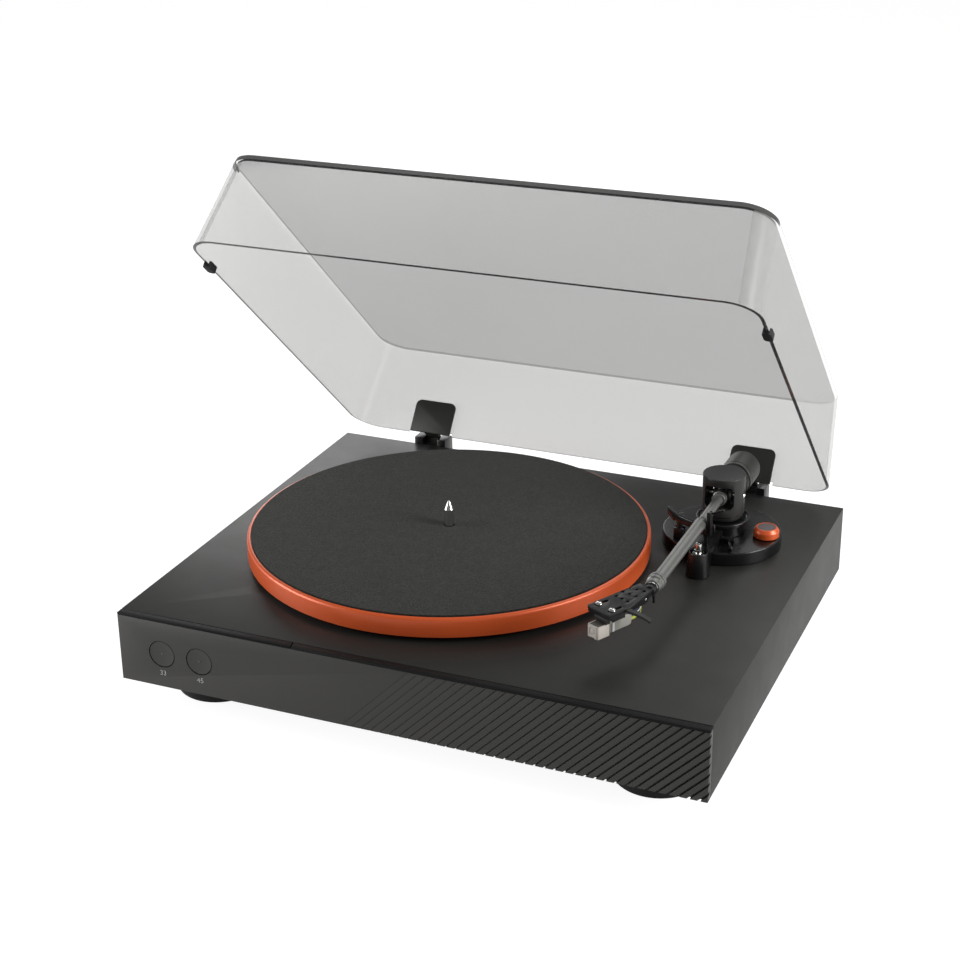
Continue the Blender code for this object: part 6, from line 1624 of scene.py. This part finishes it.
class TURNTABLE_OT_rear_panel(TurntablePiece, bpy.types.Operator):
    """Connection panel with its jacks, ground post, output switch, pairing button and power rocker"""
    bl_idname = "turntable.rear_panel"
    bl_label = "Rear panel"

    def execute(self, context):
        sizes = settings("rear")
        low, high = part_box("rear_panel")
        back, mid = high.y, (low.z + high.z) / 2

        def behind(node):
            return upright((0, 1, 0), (middle_of(node).x, back, mid))

        panel = block("connection_panel", low, high)
        tools = []
        for node, radius in (("signal_jack_right", sizes.jack), ("signal_jack_left", sizes.jack),
                             ("ground_post", sizes.post_stem), ("pairing_button", sizes.pair),
                             ("power_jack", sizes.power)):
            x = middle_of(node).x
            tools.append(peg("hole", radius + GAP, (x, low.y - OVER, mid), (x, back + OVER, mid), ROUND))
        knob_low, knob_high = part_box("output_switch")
        travel = JOINTS["output_slide"]["range_m"][1]
        tools.append(block("slot", (knob_low.x - GAP, low.y - OVER, mid - 0.0018),
                           (knob_high.x + GAP + travel, back + OVER, mid + 0.0018)))
        x = middle_of("power_rocker").x
        half_w, half_h = sizes.rocker_w / 2, sizes.rocker_h / 2
        tools.append(block("window", (x - half_w - 0.0005, low.y - OVER, mid - half_h - 0.0011),
                           (x + half_w + 0.0005, back + OVER, mid + half_h + 0.0011)))
        carve(panel, gather("holes", *tools))
        dress(soften(panel, 0.0003), "satin_black", "plinth", "rear_panel")

        for side, colour in (("left", "jack_white"), ("right", "jack_red")):
            place = behind("signal_jack_" + side)
            r, wall = sizes.jack, sizes.jack - 0.0008
            floor = sizes.jack_long - 0.007
            profile = [(0, floor), (wall, floor), (wall, sizes.jack_long), (r, sizes.jack_long), (r, 0.0018),
                       (sizes.jack_flange, 0.0018), (sizes.jack_flange, GAP), (r, GAP), (r, -sizes.tail),
                       (0, -sizes.tail)]
            radii = (0, 0, 0.0002, 0.0004, 0, 0.0004, 0, 0, 0, 0)
            shell = turned("jack_shell_" + side, profile, radii)
            dress(settle(shell, place), "turned_brass", "plinth", "signal_jack_" + side)
            profile = [(sizes.jack_bore, floor + 0.0001), (wall - 0.0001, floor + 0.0001),
                       (wall - 0.0001, sizes.jack_long - 0.001), (sizes.jack_bore, sizes.jack_long - 0.0005),
                       (sizes.jack_bore, floor + 0.0001)]
            core = turned("jack_core_" + side, profile)
            dress(settle(core, place), colour, "plinth")

        place = behind("ground_post")
        r = sizes.post
        profile = [(0, sizes.post_long), (r, sizes.post_long), (r, 0.002), (r - 0.0008, 0.0016),
                   (r - 0.0008, GAP), (sizes.post_stem, GAP), (sizes.post_stem, -sizes.tail),
                   (0, -sizes.tail)]
        post = turned("earth_post", profile, (0, 0.0005, 0.0002, 0, 0, 0, 0, 0))
        flutes = [settle(block("flute", (r - 0.0003, -0.00025, 0.003),
                               (r + 0.001, 0.00025, sizes.post_long + 0.001)),
                         about("Z", math.tau * i / 18)) for i in range(18)]
        carve(post, gather("flutes", *flutes))
        dress(settle(post, place), "zinc_plate", "plinth", "ground_post")

        place = behind("power_jack")
        r, bore = sizes.power, sizes.power_bore
        lip = 0.0013
        profile = [(0, lip - 0.009), (bore, lip - 0.009), (bore, lip - 0.0006), (bore + 0.0006, lip),
                   (r + 0.0012, lip), (r + 0.0012, GAP), (r, GAP), (r, -0.01), (0, -0.01)]
        socket = turned("power_socket", profile, (0, 0, 0, 0, 0.0005, 0, 0, 0, 0))
        dress(settle(socket, place), "satin_black", "plinth", "power_jack")
        pin = peg("power_pin", 0.001, (0, 0, lip - 0.0089), (0, 0, lip - 0.0015))
        dress(settle(soften(pin, 0.0003), place), "chrome_plate", "plinth")

        knob = soften(block("output_knob", knob_low, knob_high), 0.0003)
        ribs = []
        for share in (0.25, 0.5, 0.75):
            x_rib = knob_low.x + share * 0.003
            ribs.append(block("rib", (x_rib - 0.00015, knob_high.y - GAP, mid - OVER),
                              (x_rib + 0.00015, knob_high.y + OVER, mid + OVER)))
        dress(carve(knob, *ribs), "satin_black", "output_slider", "output_switch")

        low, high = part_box("pairing_button")
        r = sizes.pair
        top, foot = high.y - back, low.y - back
        profile = [(0, top - 0.0002), (r * 0.6, top - SKIN), (r, top), (r, foot), (0, foot)]
        button = turned("pair_button", profile, (0, 0.002, 0.0005, 0, 0))
        settle(button, behind("pairing_button"))
        dress(button, "grey_inlay", "pairing", "pairing_button")

        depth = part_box("rear_panel")[1].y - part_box("rear_panel")[0].y
        place = Vector((x, back - depth / 2, mid))
        outline = [(-0.003, -half_h), (0.0022, -half_h), (0.0012, 0), (0.0022, half_h), (-0.003, half_h)]
        side = rounded(outline, (0, 0.0005, 0.006, 0.0005, 0), 5)
        rocker = plate("rocker_cap", side, sizes.rocker_w)
        turn = Matrix(((0, 0, 1, 0), (1, 0, 0, 0), (0, 1, 0, 0), (0, 0, 0, 1)))
        settle(rocker, Matrix.Translation(place) @ about("X", -sizes.rocker_tilt)
               @ Matrix.Translation((-half_w, 0, 0)) @ turn)
        dress(soften(rocker, 0.0004, 2, 50), "polished_abs", "rocker", "power_rocker")
        return {"FINISHED"}


# Stage

class TURNTABLE_OT_stage(TurntablePiece, bpy.types.Operator):
    """Camera, plain pale floor and soft light"""
    bl_idname = "turntable.stage"
    bl_label = "Stage"

    def execute(self, context):
        sizes = settings("stage")
        scene = context.scene
        scene.view_settings.view_transform = "Standard"
        back = Vector((math.sin(sizes.azimuth) * math.cos(sizes.elevation),
                       -math.cos(sizes.azimuth) * math.cos(sizes.elevation), math.sin(sizes.elevation)))
        eye = Vector(sizes.target) + back * sizes.distance
        right = (-back).cross(Vector((0, 0, 1))).normalized()
        up = right.cross(-back)
        right, up = (right * math.cos(sizes.roll) + up * math.sin(sizes.roll),
                     up * math.cos(sizes.roll) - right * math.sin(sizes.roll))
        lens = bpy.data.cameras.new("camera")
        lens.lens = sizes.lens
        lens.sensor_width = 36
        camera = bpy.data.objects.new("camera", lens)
        scene.collection.objects.link(camera)
        camera.matrix_world = Matrix((right, up, back)).transposed().to_4x4()
        camera.location = eye
        scene.camera = camera

        clear_selection()
        bpy.ops.mesh.primitive_plane_add(size=8)
        floor = named("floor")
        floor.data.materials.append(pale_floor())

        world = bpy.data.worlds.new("studio")
        scene.world = world
        world.use_nodes = True
        world.node_tree.nodes.clear()
        path = add(world, "ShaderNodeLightPath").outputs
        seen = combine(world, "MAXIMUM", path["Is Camera Ray"], path["Is Transmission Ray"])
        sky = add(world, "ShaderNodeBackground", {"Strength": between(world, seen, sizes.fill, 1)})
        add(world, "ShaderNodeOutputWorld", {"Surface": sky.outputs["Background"]})

        for name, place, size, power in (("key", (1.45, 0.0, 0.75), 0.8, sizes.key),
                                         ("rear", (0.3, 1.2, 1.4), 1.2, sizes.rear),
                                         ("low", (-1.0, -0.5, 0.3), 0.7, sizes.low),
                                         ("rim", (-0.81, 1.17, 0.5), 0.9, sizes.rim)):
            light = bpy.data.lights.new(name, "AREA")
            light.size = size
            light.energy = power
            lamp = bpy.data.objects.new(name, light)
            scene.collection.objects.link(lamp)
            lamp.location = place
            lamp.rotation_euler = (Vector(place) - Vector(sizes.target)).to_track_quat("Z", "Y").to_euler()
        return {"FINISHED"}


def pale_floor():
    # White paper sweep: it shows pure white to the eye and keeps a soft shadow.
    mat = surface("pale_floor", "#9c9c9a", 0.9, sheen=(0.85, 0.95, 0.02), Specular_IOR_Level=0.0)
    path = add(mat, "ShaderNodeLightPath").outputs
    seen = combine(mat, "MAXIMUM", path["Is Camera Ray"],
                   combine(mat, "MULTIPLY", path["Is Glossy Ray"], 0.55))
    seen = combine(mat, "MAXIMUM", seen, path["Is Transmission Ray"])
    glow = add(mat, "ShaderNodeEmission", {"Strength": between(mat, seen, 0.0, 0.92)})
    both = add(mat, "ShaderNodeAddShader", {0: mat.node_tree.nodes["Principled BSDF"].outputs["BSDF"],
                                            1: glow.outputs["Emission"]})
    mat.node_tree.links.new(both.outputs["Shader"], mat.node_tree.nodes["Material Output"].inputs["Surface"])
    return mat


GROUPS = {"colours": TurntableColours, "plinth": TurntablePlinth, "drive": TurntableDrive,
          "cover": TurntableCover, "arm": TurntableArm, "head": TurntableHead, "rear": TurntableRear,
          "stage": TurntableStage}
OPERATORS = (TURNTABLE_OT_plinth, TURNTABLE_OT_fascia, TURNTABLE_OT_feet, TURNTABLE_OT_speed_buttons,
             TURNTABLE_OT_platter, TURNTABLE_OT_mat, TURNTABLE_OT_spindle, TURNTABLE_OT_cover,
             TURNTABLE_OT_bumpers, TURNTABLE_OT_hinges, TURNTABLE_OT_arm_base, TURNTABLE_OT_column,
             TURNTABLE_OT_tube, TURNTABLE_OT_headshell, TURNTABLE_OT_cartridge, TURNTABLE_OT_lift,
             TURNTABLE_OT_side_knob, TURNTABLE_OT_rear_panel, TURNTABLE_OT_stage)
STEPS = [kind.bl_idname.split(".")[1] for kind in OPERATORS]


class TURNTABLE_PT_pieces(bpy.types.Panel):
    """Lists the pieces, in the order that they are made"""
    bl_idname = "TURNTABLE_PT_pieces"
    bl_label = "Turntable"
    bl_space_type = "VIEW_3D"
    bl_region_type = "UI"
    bl_category = "Turntable"

    def draw(self, context):
        column = self.layout.column(align=True)
        for step in STEPS:
            column.operator("turntable." + step)


def register():
    for name, group in GROUPS.items():
        bpy.utils.register_class(group)
        setattr(bpy.types.Scene, "turntable_" + name, bpy.props.PointerProperty(type=group))
    for cls in OPERATORS:
        bpy.utils.register_class(cls)
    bpy.utils.register_class(TURNTABLE_PT_pieces)


def unregister():
    bpy.utils.unregister_class(TURNTABLE_PT_pieces)
    for cls in reversed(OPERATORS):
        bpy.utils.unregister_class(cls)
    for name, group in GROUPS.items():
        delattr(bpy.types.Scene, "turntable_" + name)
        bpy.utils.unregister_class(group)


def main():
    register()
    for step in STEPS:
        getattr(bpy.ops.turntable, step)()
    clear_selection()


if __name__ == "__main__":
    main()
